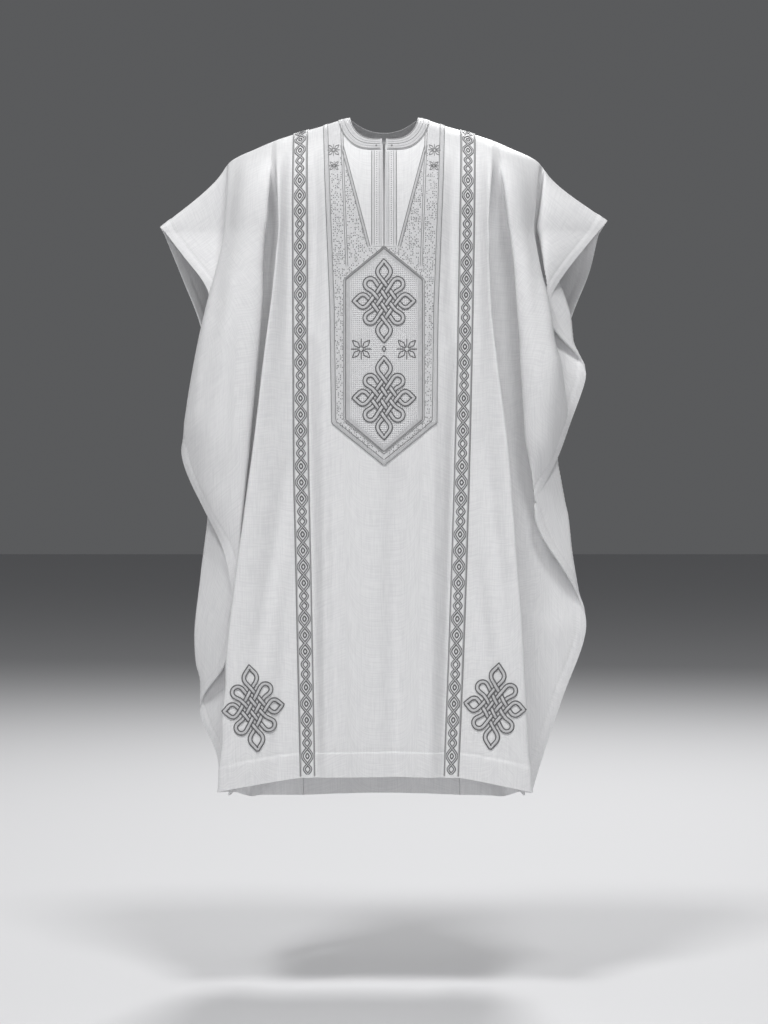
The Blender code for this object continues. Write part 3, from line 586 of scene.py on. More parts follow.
def side_sheet(facing, side):
    """A side panel: rows of points from the shoulder line to the hem, and where each lies."""
    count = SIDE_COLUMNS[facing.layer]
    line, number = section(facing, side, ROLL_END)
    seam = facing.seam[side][0].out
    starts = [seam + SEAM_GAP, seam + BAND_HALF][:facing.lead]
    starts += [fold.shoulder_out for fold in facing.lines[side]]
    starts = np.interp(number, np.arange(len(starts)), starts)
    stations, (out, fore, _, numbers, start) = panel_columns(line, count, number, starts)
    hung = np.stack([out, fore], 1)
    ridge = shoulder_height(side * start)
    rows, across = [], []
    for n in range(ROLL_ROWS):
        angle = QUARTER_TURN * n / ROLL_ROWS
        turned = 1 - math.cos(angle)
        out, fore = shut(facing, side, hung, numbers, angle).T
        x = side * (start + (out - start) * turned)
        z = ridge + (ROLL_END - ridge) * turned
        fore = fore + creased(facing, side, x, z, numbers)
        ahead = math.sin(angle) * fore + facing.sign * SHOULDER_GAP * math.cos(angle)
        rows.append(np.stack([x, -ahead, z], 1))
        across.append(stations)
    for height in np.concatenate([[ROLL_END], hang_heights(facing)]):
        line, number = section(facing, side, height)
        stations, (out, fore, drop, numbers) = panel_columns(line, count, number)
        x = side * out
        fore = fore + creased(facing, side, x, height, numbers)
        rows.append(np.stack([x, -fore, height + drop * hem_blend(facing, height)], 1))
        across.append(stations)
    return finished_sheet(eased(np.array(rows), EASE_TIMES, facing.fixed), np.array(across))


# ----- middle panels
def slit_out(height):
    """Half the width of the front slit, which closes at its end."""
    open_share = np.clip((np.asarray(height, float) - SLIT_END) / -SLIT_END, 0, 1)
    wide = SLIT_HALF_END + (SLIT_HALF_TOP - SLIT_HALF_END) * open_share
    return np.where(np.asarray(height) > SLIT_END, wide, 0.0)


def middle_fore(facing, x, height):
    """How far a middle panel hangs before the shoulder line, creases and all."""
    depth = middle_depth(facing, x, np.minimum(height, ROLL_END))
    return facing.sign * (depth + crease_depth(facing.layer, x, height))


def middle_half(facing, side):
    """One half of a middle panel, from the middle to its seam."""
    widest = float(facing.seam[side][0].out)
    first, last = NECK_CORNER
    outs = np.concatenate([
        np.linspace(0, first, CORNER_COLUMNS), np.linspace(first, last, CORNER_COLUMNS)[1:],
        np.linspace(last, widest, MIDDLE_COLUMNS - 2 * CORNER_COLUMNS + 2)[1:],
    ])
    share = outs / widest
    x_hung = side * share * (seam_out(facing, side, ROLL_END) - SEAM_GAP)
    top = shoulder_height(x_hung)
    neck = np.clip(1 - np.abs(x_hung / NECK_HOLE.half_width) ** facing.squareness, 0, None)
    reach = facing.hole_depth * neck ** (1 / facing.squareness)
    start = np.arcsin(np.clip(reach / middle_depth(facing, x_hung, ROLL_END), 0, 1))
    rows, across = [], []
    for n in range(ROLL_ROWS):
        angle = start + (QUARTER_TURN - start) * n / ROLL_ROWS
        z = top + (ROLL_END - top) * (1 - np.cos(angle))
        inner = slit_out(z) if facing is FRONT else 0.0
        x = x_hung + side * inner * (1 - share)
        ahead = np.sin(angle) * middle_fore(facing, x, z)
        ahead = ahead + facing.sign * SHOULDER_GAP * np.cos(angle)
        rows.append(np.stack([x, -ahead, z], 1))
        across.append(x)
    for height in np.concatenate([[ROLL_END], hang_heights(facing)]):
        out = seam_out(facing, side, height)
        inner = float(slit_out(height)) if facing is FRONT else 0.0
        x = side * (inner + share * (out - SEAM_GAP - inner))
        rise = HEM_RISE * (1 - (x / out) ** 2) * hem_blend(facing, height)
        rows.append(np.stack([x, -middle_fore(facing, x, height), height + rise], 1))
        across.append(x)
    made = finished_sheet(np.array(rows), np.array(across))
    return made._replace(edge_distance=np.full(made.edge_distance.shape, NO_EDGE))


# ===== the front, to sew on
FIELD_HEIGHTS = np.linspace(ROLL_END, FRONT_HEM - HEM_RISE, 120)
FIELD_STEPS = 60


def front_field(side):
    """The front layer of a side panel from its seam to its first crest, height by height."""
    outs, fores = [], []
    for height in FIELD_HEIGHTS:
        line, number = section(FRONT, side, height)
        part = line[number <= fold_number(FRONT, side, "first crest")]
        top = int(np.argmax(part[:, 0]))
        out = np.linspace(part[0, 0], part[top, 0], FIELD_STEPS)
        outs.append(out)
        fores.append(np.interp(out, part[:top + 1, 0], part[:top + 1, 1]))
    return np.array(outs), np.array(fores)


FIELDS = {side: front_field(side) for side, _ in SIDES}


def beside_depth(side, out, height):
    """How far forward the front layer of a side panel hangs."""
    outs, fores = FIELDS[side]
    at = np.clip((ROLL_END - height) / (ROLL_END - FIELD_HEIGHTS[-1]), 0, 1) * (len(outs) - 1)
    low = np.clip(at.astype(int), 0, len(outs) - 2)
    total = 0
    for row, weight in ((low, low + 1 - at), (low + 1, at - low)):
        place = np.clip((out - outs[row, 0]) / (outs[row, -1] - outs[row, 0]), 0, 1)
        place = place * (FIELD_STEPS - 1)
        i = np.clip(place.astype(int), 0, FIELD_STEPS - 2)
        total = total + weight * (fores[row, i] * (i + 1 - place) + fores[row, i + 1] * (place - i))
    return total


def front_depth(x, height):
    """How far forward the front hangs, over its middle panel and the strips beside it."""
    seam = by_side(FRONT_SEAM, x, height)
    middle = middle_depth(FRONT, x, height)
    left = beside_depth(LEFT, np.abs(x), height)
    right = beside_depth(RIGHT, np.abs(x), height)
    return np.where(np.abs(x) <= seam, middle, np.where(x > 0, right, left))


def front_height(x, step):
    """The height at a step: 0 to 1 rolls over the shoulder, and the rest is metres below that."""
    top = shoulder_height(x)
    rolled = top + (ROLL_END - top) * (1 - np.cos(QUARTER_TURN * np.clip(step, 0, 1)))
    return np.where(step < 1, rolled, ROLL_END - (step - 1))


def front_point(x, step):
    """A point of the front at a step down it."""
    angle = QUARTER_TURN * np.clip(step, 0, 1)
    height = front_height(x, step)
    depth = front_depth(x, np.minimum(height, ROLL_END)) + crease_depth("front", x, height)
    return np.stack([x, -(np.sin(angle) * depth + SHOULDER_GAP * np.cos(angle)), height], -1)


def step_of(x, height):
    """The step at which a column of the front reaches a height."""
    top = shoulder_height(x)
    turned = np.clip((top - height) / (top - ROLL_END), 0, 1)
    return np.where(height < ROLL_END, 1 + ROLL_END - height, np.arccos(1 - turned) * 2 / math.pi)


def on_step(x, step):
    """Points of the front at x and step, and the normals there."""
    x, step = np.broadcast_arrays(np.asarray(x, float), np.asarray(step, float))
    small = 0.0008
    upper = np.maximum(step - small, 0)
    across = front_point(x + small, step) - front_point(x - small, step)
    down = front_point(x, upper + 2 * small) - front_point(x, upper)
    return front_point(x, step), unit(np.cross(down, across))


def on_front(flat):
    """Points of the front at pairs of x and height, and the normals there."""
    return on_step(flat[:, 0], step_of(flat[:, 0], flat[:, 1]))


def lengths_down(x):
    """Steps down the front at one x, and the length of cloth above each."""
    steps = np.concatenate([np.linspace(0, 1, 120), 1 + np.linspace(0.002, FRONT_DROP, 420)])
    points = front_point(np.full(len(steps), float(x)), steps)
    return steps, lengths_along(points)


def on_ring(share, turn):
    """Points of the neckband: share is 0 at its inner edge, and turn is 0 in front."""
    share, turn = np.broadcast_arrays(np.asarray(share, float), np.asarray(turn, float))
    small = 0.004

    def place(part, angle):
        half_width, front, back = (
            a + (b - a) * part for a, b in zip(NECKBAND_INNER, NECKBAND_OUTER)
        )
        forward = np.cos(angle) > 0
        power = np.where(forward, 2 / FRONT_SQUARENESS, 2 / BACK_SQUARENESS)
        x = half_width * np.sign(np.sin(angle)) * np.abs(np.sin(angle)) ** power
        reach = np.where(forward, front, back) * np.abs(np.cos(angle)) ** power
        depth = np.where(
            forward, middle_depth(FRONT, x, ROLL_END), middle_depth(BACK, x, ROLL_END)
        )
        turned = 1 - np.cos(np.arcsin(reach / depth))
        top = shoulder_height(x)
        return np.stack([x, np.where(forward, -reach, reach), top + (ROLL_END - top) * turned], -1)

    across = place(share + small, turn) - place(share - small, turn)
    along = place(share, turn + small) - place(share, turn - small)
    return place(share, turn), unit(np.cross(across, along))


# ===== meshes and objects
def bend_in(made, seam_distance):
    """The small dip where a panel is turned in along its seams."""
    dip = SEAM_DIP * np.exp(-(made.down / SHOULDER_DIP_REACH) ** 2)
    if seam_distance is not None:
        dip = dip + SEAM_DIP * np.exp(-(seam_distance / SEAM_DIP_REACH) ** 2)
    return dip


def grid_faces(rows, columns, first, flip):
    """The quads of a grid of points whose numbers start at first."""
    index = first + np.arange(rows * columns).reshape(rows, columns)
    quads = np.stack([index[:-1, :-1], index[1:, :-1], index[1:, 1:], index[:-1, 1:]], -1)
    quads = quads.reshape(-1, 4)
    return quads[:, ::-1] if flip else quads


def joined(points, quads):
    """Makes points that coincide one: returns them, their faces, and which they were."""
    _, first, number = np.unique(
        np.round(points, SAME_POINT), axis=0, return_index=True, return_inverse=True
    )
    faces = []
    for quad in number.reshape(-1)[quads].tolist():
        kept = [v for n, v in enumerate(quad) if v != quad[n - 1]]
        if len(set(kept)) == len(kept) >= 3:
            faces.append(kept)
    return points[first], faces, first


def vertex_normals(points, faces):
    """The average of the normals of the faces round each point."""
    triangles = np.array([(f[0], f[n], f[n + 1]) for f in faces for n in range(1, len(f) - 1)])
    a, b, c = (points[triangles[:, k]] for k in range(3))
    normal = np.cross(b - a, c - a)
    total = np.zeros_like(points)
    for k in range(3):
        np.add.at(total, triangles[:, k], normal)
    return unit(total)


def outer_edges(faces):
    """The directed edges that only one face has."""
    edges = {(f[n - 1], f[n]) for f in faces for n in range(len(f))}
    return sorted((a, b) for a, b in edges if (b, a) not in edges)


def mesh_object(name, points, faces, uv):
    """An object from points, faces and a place on the flat cloth for each point, in metres."""
    mesh = bpy.data.meshes.new(name)
    mesh.from_pydata(points.tolist(), [], faces)
    corners = np.empty(len(mesh.loops), dtype=np.int32)
    mesh.loops.foreach_get("vertex_index", corners)
    layer = mesh.uv_layers.new(name="flat")
    layer.data.foreach_set("uv", uv[corners].astype(np.float32).ravel())
    mesh.shade_smooth()
    mesh.set_sharp_from_angle(angle=SHARP)
    thing = bpy.data.objects.new(name, mesh)
    bpy.context.scene.collection.objects.link(thing)
    return thing


def shell(name, points, quads, uv, thickness, dip, lift=0.0):
    """A closed thin piece: a sheet of points given a front, a back and a rim."""
    points, faces, first = joined(points, quads)
    uv, thickness, dip = uv[first], thickness[first], dip[first]
    normal = vertex_normals(points, faces)
    points = points + normal * (lift - dip)[:, None]
    half = (thickness / 2)[:, None]
    count = len(points)
    both = np.vstack([points + normal * half, points - normal * half])
    under = [[v + count for v in face[::-1]] for face in faces]
    rim = [[b, a, a + count, b + count] for a, b in outer_edges(faces)]
    return mesh_object(name, both, faces + under + rim, np.vstack([uv, uv]))


def thicknesses(made):
    """The thickness of each point of a panel, less where a line of stitches pulls it in."""
    side_turned, side_groove = hem_profile(made.edge_distance, EDGE_HEM)
    end_turned, end_groove = hem_profile(made.hem_distance, HEM_TURNING)
    turned = np.maximum(side_turned, end_turned)
    groove = np.maximum(side_groove, end_groove)
    return CLOTH + (HEM_CLOTH - CLOTH) * turned - GROOVE * groove


def panel_object(name, halves, facing):
    """A panel from one or two grids, each with its own winding."""
    points, quads, uv, thickness, dips = [], [], [], [], []
    first = 0
    for made, flip in halves:
        rows, columns = made.points.shape[:2]
        points.append(made.points.reshape(-1, 3))
        quads.append(grid_faces(rows, columns, first, flip))
        uv.append(np.stack([made.across, made.down], -1).reshape(-1, 2))
        thickness.append(thicknesses(made).ravel())
        from_seam = made.across - made.across[:, :1]
        if len(halves) == 2:
            from_seam = np.abs(made.across[:, -1:] - made.across)
        dips.append(bend_in(made, None if facing is FRONT else from_seam).ravel())
        first += rows * columns
    return shell(
        name, np.vstack(points), np.vstack(quads), np.vstack(uv),
        np.concatenate(thickness), np.concatenate(dips),
    )


def ridden(thing, finish):
    """Gives a piece its finish, and has it ride on the robe."""
    thing.data.materials.append(finish)
    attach(thing, "root")
    return thing


def sheet_of_cloth(thing, node, finish, flat, area=None):
    """Gives a piece of cloth its finish, has it ride on the robe, and hides the node that it stands
    for. Its flat size and its area are not used.
    """
    ridden(thing, finish)
    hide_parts(node)
    return thing


# ===== what is sewn on the front
TRIM = 0.0009  # thickness of an applied piece, which is 1.2 mm in the CAD
TRIM_LIFT = CLOTH / 2 + TRIM / 2 + 0.00005  # of its middle, a hair clear of the cloth
TOP_OF_TRIM = CLOTH / 2 + TRIM
RING_LIFT = TRIM_LIFT + 0.00095  # the neckband lies over the ends of the yokes and plackets
TOP_OF_RING = RING_LIFT + TRIM / 2
Corner = namedtuple("Corner", "out height")
YOKE_OUTER = [
    Corner(0.1160, 0.030), Corner(0.1010, -0.350), Corner(0.0980, -0.566), Corner(0.0003, -0.645),
]
YOKE_END = -0.6445  # the height at which its strip stops, just short of its point
YOKE_INNER = [  # its first three corners are further in: it runs on under the neckband
    Corner(0.0840, 0.030), Corner(0.0835, -0.015), Corner(0.0750, -0.045),
    Corner(0.0245, -0.2395), Corner(0.0003, -0.2432), Corner(0.0700, -0.3005),
    Corner(0.0700, -0.5585), Corner(0.0003, -0.6175), Corner(0.0003, -0.645),
]
CHEST_EDGE = [
    Corner(0.0, -0.2440), Corner(0.0696, -0.3011), Corner(0.0696, -0.5581), Corner(0.0, -0.6167),
]
NECK_DOT = Corner(0.0143, -0.0480)  # a small knot on each end of the neckband
NECK_BAR = -0.0440  # the height of the thread bar
PLACKET_OUTER = 0.0238
PLACKET_TOP = -0.0565
PLACKET_END = -0.2385
PLACKET_MIDDLE = 0.013  # about how far out its middle lies
PLACKET_SEEDS = 0.0134  # how far out its row of seed stitches lies
# 0.5 to 0.6 mm further out than in the CAD, as the slit is
PLACKET_INNER = [Corner(0.0034, PLACKET_TOP), Corner(0.0017, PLACKET_END)]


def area_inside(outline):
    """The area inside a closed flat outline."""
    x, y = np.asarray(outline, float).T
    return abs(float(np.sum(x * np.roll(y, -1) - y * np.roll(x, -1)))) / 2


def edge_at(corners, height):
    """How far out an edge is at each height, along straight lines between its corners."""
    heights = [corner.height for corner in corners][::-1]
    outs = [corner.out for corner in corners][::-1]
    return np.interp(height, heights, outs)


TRIM_OUT = 0.1  # about how far out the strips lie
BESIDE_SLIT = 0.01  # how far out a column of the front just beside the slit is
STRIP_START = 0.02  # the step at which a strip that comes from the shoulder seam starts
STRIP_ROLL_ROWS = 60
STRIP_SPACING = 0.004
BAND_SPACING = 0.006
RING_COLUMNS = 9
RING_SIDE_ROWS = 60
RING_BACK_ROWS = 70
RING_WIDTH = 0.02  # about, as its radius is: its weave is laid out by them
RING_RADIUS = 0.075


def trim_shell(name, points, uv, flip, lift):
    """A closed thin piece from a grid of points, lifted off the cloth."""
    rows, columns = points.shape[:2]
    count = rows * columns
    quads = grid_faces(rows, columns, 0, flip)
    return shell(
        name, points.reshape(-1, 3), quads, uv.reshape(-1, 2),
        np.full(count, TRIM), np.zeros(count), lift,
    )


def strip(name, steps, edges_at, columns):
    """A strip of cloth between two edges, which are distances from the middle at each height."""
    share = np.linspace(0, 1, columns)
    x_rows = []
    for step in steps:
        guess = np.full(columns, TRIM_OUT)
        for _ in range(3):
            low, high = edges_at(front_height(guess, step))
            guess = low + (high - low) * share
        x_rows.append(guess)
    x = np.array(x_rows)
    points = front_point(x, np.broadcast_to(steps[:, None], x.shape))
    uv = np.stack([x, cloth_down(points)], -1)
    return trim_shell(name, points, uv, x[0, -1] <= x[0, 0], TRIM_LIFT)


def steps_between(first, end, spacing):
    """Steps down the front to a height: even turns over the shoulder, then even drops."""
    last = float(step_of(TRIM_OUT, end))
    roll = np.array([first])
    if first < 1:
        roll = np.linspace(first, 1, max(2, int((1 - first) * STRIP_ROLL_ROWS)))
    drops = np.linspace(roll[-1], last, max(2, int((last - roll[-1]) / spacing)))
    return np.concatenate([roll, drops[1:]])


def sided(side, inner, outer):
    """The edges of a strip that lies on one side, from left to right."""
    return lambda height: (side * inner(height), side * outer(height))


def ring_start(slits):
    """The turn at which the neckband starts, that many slit widths from the middle."""
    return math.asin((slits * SLIT_HALF_TOP / NECKBAND_INNER.half_width) ** (FRONT_SQUARENESS / 2))


def neckband():
    """The flat band round the neck, open at the slit."""
    start = ring_start(1.15)
    turns = np.concatenate([
        np.linspace(start, QUARTER_TURN, RING_SIDE_ROWS),
        np.linspace(QUARTER_TURN, 3 * QUARTER_TURN, RING_BACK_ROWS)[1:],
        np.linspace(3 * QUARTER_TURN, 2 * math.pi - start, RING_SIDE_ROWS)[1:],
    ])
    share, turn = np.meshgrid(np.linspace(0, 1, RING_COLUMNS), turns)
    points, _ = on_ring(share, turn)
    uv = np.stack([share * RING_WIDTH, turn * RING_RADIUS], -1)
    return trim_shell("sewn_neckband", points, uv, True, RING_LIFT)


# ===== thread
class Thread:
    """Stitches and cords that are joined into one mesh."""

    def __init__(self):
        self.points, self.faces, self.uv, self.count = [], [], [], 0

    def add(self, points, faces, uv):
        """Adds points, and faces that number them from 0."""
        self.points.append(points)
        self.faces.extend((np.asarray(faces) + self.count).tolist())
        self.uv.append(uv)
        self.count += len(points)

    def made(self, name, slot, finish):
        """Makes the piece."""
        thing = mesh_object(name, np.vstack(self.points), self.faces, np.vstack(self.uv))
        return ridden(thing, finish)


# The section of a cord: shares of its half width, and of its height.
CORD_PROFILE = np.array([
    (-1.0, -0.35), (-0.80, 0.55), (-0.28, 1.0), (0.28, 1.0), (0.80, 0.55), (1.0, -0.35),
])
CORD_END = 0.45  # how much of its size a cord keeps at an open end
CORD_WRAP = 0.6  # from one line of the profile to the next, as a share of the half width
STITCH_FOOT = 0.0001  # how far a stitch goes down into the cloth
STITCH_FACES = np.array([
    (0, 2, 1), (0, 3, 2), (0, 4, 3), (0, 1, 4), (5, 1, 2), (5, 2, 3), (5, 3, 4), (5, 4, 1),
])
STITCH_PLACES = np.array([(0, 0), (1, 1), (1, 0), (1, 1), (1, 0), (2, 0)]) * 0.001


def add_cord(thread, points, normals, half_width, height, lift, closed):
    """A raised, flattened cord along points of the cloth."""
    if closed:
        tangent = np.roll(points, -1, axis=0) - np.roll(points, 1, axis=0)
    else:
        tangent = np.gradient(points, axis=0)
    across = unit(np.cross(normals, unit(tangent)))
    count, ring = len(points), len(CORD_PROFILE)
    taper = np.ones(count)
    if not closed:
        taper[0] = taper[-1] = CORD_END
    sideways = across[:, None] * (CORD_PROFILE[None, :, :1] * half_width * taper[:, None, None])
    upwards = normals[:, None] * (
        CORD_PROFILE[None, :, 1:] * height * taper[:, None, None] + np.reshape(lift, (-1, 1, 1))
    )
    body = (points[:, None] + sideways + upwards).reshape(-1, 3)
    along = lengths_along(points)
    round_it = np.arange(ring) * half_width * CORD_WRAP
    uv = np.stack([np.repeat(along, ring), np.tile(round_it, count)], 1)
    index = np.arange(count * ring).reshape(count, ring)
    following = np.roll(index, -1, axis=0) if closed else index[1:]
    current = index if closed else index[:-1]
    quads = np.stack([
        current, np.roll(current, -1, axis=1), np.roll(following, -1, axis=1), following,
    ], -1).reshape(-1, 4)
    thread.add(body, quads, uv)
    if not closed:
        start = thread.count - count * ring
        thread.faces.append((start + index[0][::-1]).tolist())
        thread.faces.append((start + index[-1]).tolist())


def dense(flat, closed, spacing=0.0006):
    """A flat line with points close together."""
    line = np.vstack([flat, flat[:1]]) if closed else np.asarray(flat, float)
    along = lengths_along(line)
    count = max(3, int(along[-1] / spacing))
    return read_at(np.linspace(0, along[-1], count), along, line)


def laid(flat, closed, spacing, surface):
    """A flat line laid on a surface, with evenly spaced points, and their normals."""
    points, normals = surface(dense(flat, closed))
    along = lengths_along(points)
    count = max(4 if closed else 2, int(round(along[-1] / spacing)))
    both = read_at(np.linspace(0, along[-1], count + 1), along, np.hstack([points, normals]))
    both = both[:-1] if closed else both
    return both[:, :3], both[:, 3:]


def sew_line(thread, flat, half_width, height, lift=TOP_OF_TRIM, closed=False, spacing=0.0022,
             surface=on_front):
    """Sews a cord along a flat line laid on a surface."""
    points, normals = laid(np.asarray(flat, float), closed, spacing, surface)
    add_cord(thread, points, normals, half_width, height, lift, closed)


def add_stitches(thread, points, normals, direction, length, half_width, height, lift):
    """Short raised stitches, each a slim pointed bead."""
    direction = unit(direction - normals * np.sum(direction * normals, axis=1, keepdims=True))
    across = np.cross(normals, direction)
    length = np.broadcast_to(length, len(points))[:, None]
    base = points + normals * lift
    corners = np.stack([
        base - direction * length / 2, base + across * half_width, base + normals * height,
        base - across * half_width, base - normals * STITCH_FOOT, base + direction * length / 2,
    ], 1)
    firsts = corners.shape[1] * np.arange(len(points))[:, None, None]
    uv = np.tile(STITCH_PLACES, (len(points), 1))
    thread.add(corners.reshape(-1, 3), (STITCH_FACES[None] + firsts).reshape(-1, 3), uv)


def seeds(thread, flat, angles, length, half_width=0.00095, height=0.0010, lift=TOP_OF_TRIM):
    """Seed stitches at flat places, each turned by its own angle."""
    points, normals = on_front(flat)
    direction = np.stack([np.cos(angles), np.zeros(len(flat)), np.sin(angles)], 1)
    add_stitches(thread, points, normals, direction, length, half_width, height, lift)


# ===== motifs
MITRE_LEAST = 0.5  # limits how far a corner of a line beside another juts out
SWELL = 0.86  # of a diamond's sides, which 1 would make straight
KNOT_HEIGHT = 0.0009
KNOT_EDGE = 0.0004  # how far the dark threads lie inside the edges of a cord
EDGE_HALF = 0.0012
EDGE_HEIGHT = 0.0015


def offset_line(line, distance, closed=False):
    """A line beside another, at a distance to its left."""
    line = np.asarray(line, float)
    ahead = np.diff(np.vstack([line, line[:1]]) if closed else line, axis=0)
    ahead = unit(ahead)
    side = np.stack([-ahead[:, 1], ahead[:, 0]], 1)
    before = np.roll(side, 1, axis=0) if closed else np.vstack([side[:1], side])
    after = side if closed else np.vstack([side, side[-1:]])
    mitre = before + after
    mitre /= np.maximum(np.sum(mitre * after, axis=1, keepdims=True), MITRE_LEAST)
    return line + mitre * distance


def diamond(half_width, half_height, middle=(0.0, 0.0)):
    """A closed diamond with slightly swollen sides."""
    turns = np.radians(np.arange(0, 360, 15))
    c, s = np.cos(turns), np.sin(turns)
    reach = (np.abs(c) + np.abs(s)) ** -SWELL
    return np.stack([c * reach * half_width, s * reach * half_height], 1) + middle


def rounded(corners, times=3):
    """A closed line with its corners cut: one that is given twice stays sharper."""
    line = np.asarray(corners, float)
    for _ in range(times):
        following = np.roll(line, -1, axis=0)
        line = np.stack([0.75 * line + 0.25 * following, 0.25 * line + 0.75 * following], 1)
        line = line.reshape(-1, 2)
    return line


def turned(line, angle, place=(0.0, 0.0)):
    """A flat line turned about the origin, then moved."""
    c, s = math.cos(angle), math.sin(angle)
    return np.asarray(line) @ np.array([[c, s], [-s, c]]) + np.array(place)


# An endless knot of four cords each way. The outer four make one closed cord with a pointed loop
# at each corner of the weave, and the inner ones two long ovals with round ends, which cross.
Knot = namedtuple("Knot", "step_x step_y reach_x reach_y side loop_out loop_up loop ribbon")
CHEST_KNOT = Knot(0.0080, 0.0118, 0.0550, 0.0735, 0.0158, 0.0252, 0.0315, 0.0104, 0.0038)
CORNER_KNOT = Knot(0.0078, 0.0122, 0.0530, 0.0755, 0.0155, 0.0252, 0.0325, 0.0104, 0.0036)
WEAVE = 0.0007  # how far a cord rises over one that it crosses, and dips under the next


def knot_cords(knot):
    """The three closed cords of a knot, each as a flat line."""
    top, out = 3 * knot.step_y, 3 * knot.step_x
    high = top + 0.50 * (knot.reach_y - top)
    wide = out + 0.48 * (knot.reach_x - out)
    half = [(0, top), (knot.side, high), (0, knot.reach_y), (0, knot.reach_y), (-knot.side, high),
            (0, top), (out, 0), (wide, -knot.side), (knot.reach_x, 0), (knot.reach_x, 0),
            (wide, knot.side), (out, 0)]
    cords = [np.array(half + [(-x, -y) for x, y in half], float)]
    end = []
    for angle in (148, 118, 88, 56, 24, -8, -38, -64):
        end.append((knot.loop_out + knot.loop * math.cos(math.radians(angle)),
                    knot.loop_up + knot.loop * math.sin(math.radians(angle))))
    first = [(1.3 * knot.step_x, 2.3 * knot.step_y)]
    last = [(2.3 * knot.step_x, 1.3 * knot.step_y)]
    oval = first + end + last
    oval = np.array(oval + [(-x, -y) for x, y in oval], float)
    return cords + [oval, oval * (1, -1)]


def woven_lift(knot, line):
    """How far each point of a cord rises over, or dips under, the cords that it crosses."""
    ahead = np.roll(line, -1, axis=0) - np.roll(line, 1, axis=0)
    along = line[:, 0] / knot.step_x
    up = line[:, 1] / knot.step_y
    edge = np.maximum(np.abs(along - up), np.abs(along + up)) / 2
    inside = np.clip((2.0 - edge) / 0.4, 0, 1)
    way = np.sign(ahead[:, 0] * ahead[:, 1])
    return WEAVE * way * np.cos(math.pi * (along + 3)) * inside


def sew_knot(light, dark, knot, place, angle, lift, surface):
    """A knot of flat cords, each with a dark thread down both its edges."""
    for cord in knot_cords(knot):
        line = dense(rounded(cord), True, 0.0016)[:-1]
        rise = lift + WEAVE + woven_lift(knot, line)
        points, normals = surface(turned(line, angle, place))
        add_cord(light, points, normals, knot.ribbon, KNOT_HEIGHT, rise, True)
        for sign in (1, -1):
            edge = offset_line(line, sign * (knot.ribbon - KNOT_EDGE), True)
            points, normals = surface(turned(edge, angle, place))
            add_cord(dark, points, normals, EDGE_HALF, EDGE_HEIGHT, rise, True)


def sew_flourish(dark, place, size):
    """A small cross of four petals and four straight stitches, with a diamond in the middle."""
    half_width = size * 0.030
    for angle in (0, 90, 180, 270):
        petal = diamond(size * 0.25, size * 0.12, (size * 0.33, 0))
        petal = turned(petal, math.radians(45 + angle)) + place
        sew_line(dark, petal, half_width, 0.0013, closed=True, spacing=0.0016)
        tip = turned([(size * 0.12, 0), (size * 0.50, 0)], math.radians(angle), place)
        sew_line(dark, tip, half_width, 0.0013, spacing=0.0016)
    middle = diamond(size * 0.13, size * 0.13, place)
    sew_line(dark, middle, 0.7 * half_width, 0.0011, closed=True, spacing=0.0014)


# ----- the bands
Cell = namedtuple("Cell", "length half_width")
CELLS = {"d": Cell(0.0300, 0.0092), "k": Cell(0.0180, 0.0062)}
BAND_ORDER = "dddkkdddkkddddkkdddkk"  # diamonds, d, and small pairs, k; used again from the top
BAND_LINE = 0.0012  # from the edge of a band to its border
BAND_INNER_LINE = 0.0024  # about how far inside its border a band has a light line
BAND_RIBBON = 0.0015  # half the width of each of the two ribbons
BAND_MARGIN = 0.004  # from the top of a band to its stitches
BAND_CROSSING = 0.010  # from the top of a band to where its ribbons first cross
# Points of a ribbon between two crossings, as shares of a cell's length and of its half width.
RIBBON_SWING = ((0.2, 0.50), (0.36, 0.86), (0.5, 1.0), (0.64, 0.86), (0.8, 0.50))
BAND_OUT = 0.150  # about how far out a band lies


def band_surface(side):
    """A surface whose x is across a band, and whose height is the length down from its top."""
    steps, lengths = lengths_down(side * BAND_OUT)

    def surface(flat):
        step = np.interp(-flat[:, 1], lengths, steps)
        height = front_height(np.full(len(flat), side * BAND_OUT), step)
        x = side * smooth(FRONT_SEAM[side], height)[:, 0] + flat[:, 0]
        return on_step(x, step)

    return surface, lengths[-1]


def sew_band(light, dark, grey, side):
    """Two borders, and two ribbons that cross again and again, with a diamond in each space."""
    surface, length = band_surface(side)

    def line(thread, flat, half_width, closed=False):
        sew_line(thread, flat, half_width, 0.0011, TOP_OF_TRIM, closed, 0.0024, surface)

    for out in (BAND_LINE - BAND_HALF, BAND_HALF - BAND_LINE):
        inner = out * (1 - BAND_INNER_LINE / BAND_HALF)
        line(grey, [(out, -BAND_MARGIN), (out, 0.002 - length)], 0.0014)
        line(light, [(inner, -BAND_MARGIN), (inner, 0.002 - length)], 0.0008)
    strand = [(0.0, -BAND_MARGIN), (0.0, -BAND_CROSSING)]
    down, n = BAND_CROSSING, 0
    while down + CELLS["k"].length < length:
        cell = CELLS[BAND_ORDER[n % len(BAND_ORDER)]]
        if down + cell.length > length:
            cell = CELLS["k"]
        way = 1 if n % 2 else -1
        for share, out in RIBBON_SWING:
            strand.append((way * out * cell.half_width, -down - share * cell.length))
        strand.append((0.0, -down - cell.length))
        middle = (0.0, -down - cell.length / 2)
        if cell is CELLS["d"]:
            line(dark, diamond(cell.half_width * 0.36, cell.length * 0.19, middle), 0.0014, True)
        down += cell.length
        n += 1
    for way in (1, -1):
        ribbon = dense(np.array(strand) * (way, 1), False, 0.0020)
        line(light, ribbon, BAND_RIBBON)
        for sign in (1, -1):
            line(dark, offset_line(ribbon, sign * BAND_RIBBON), 0.00125)


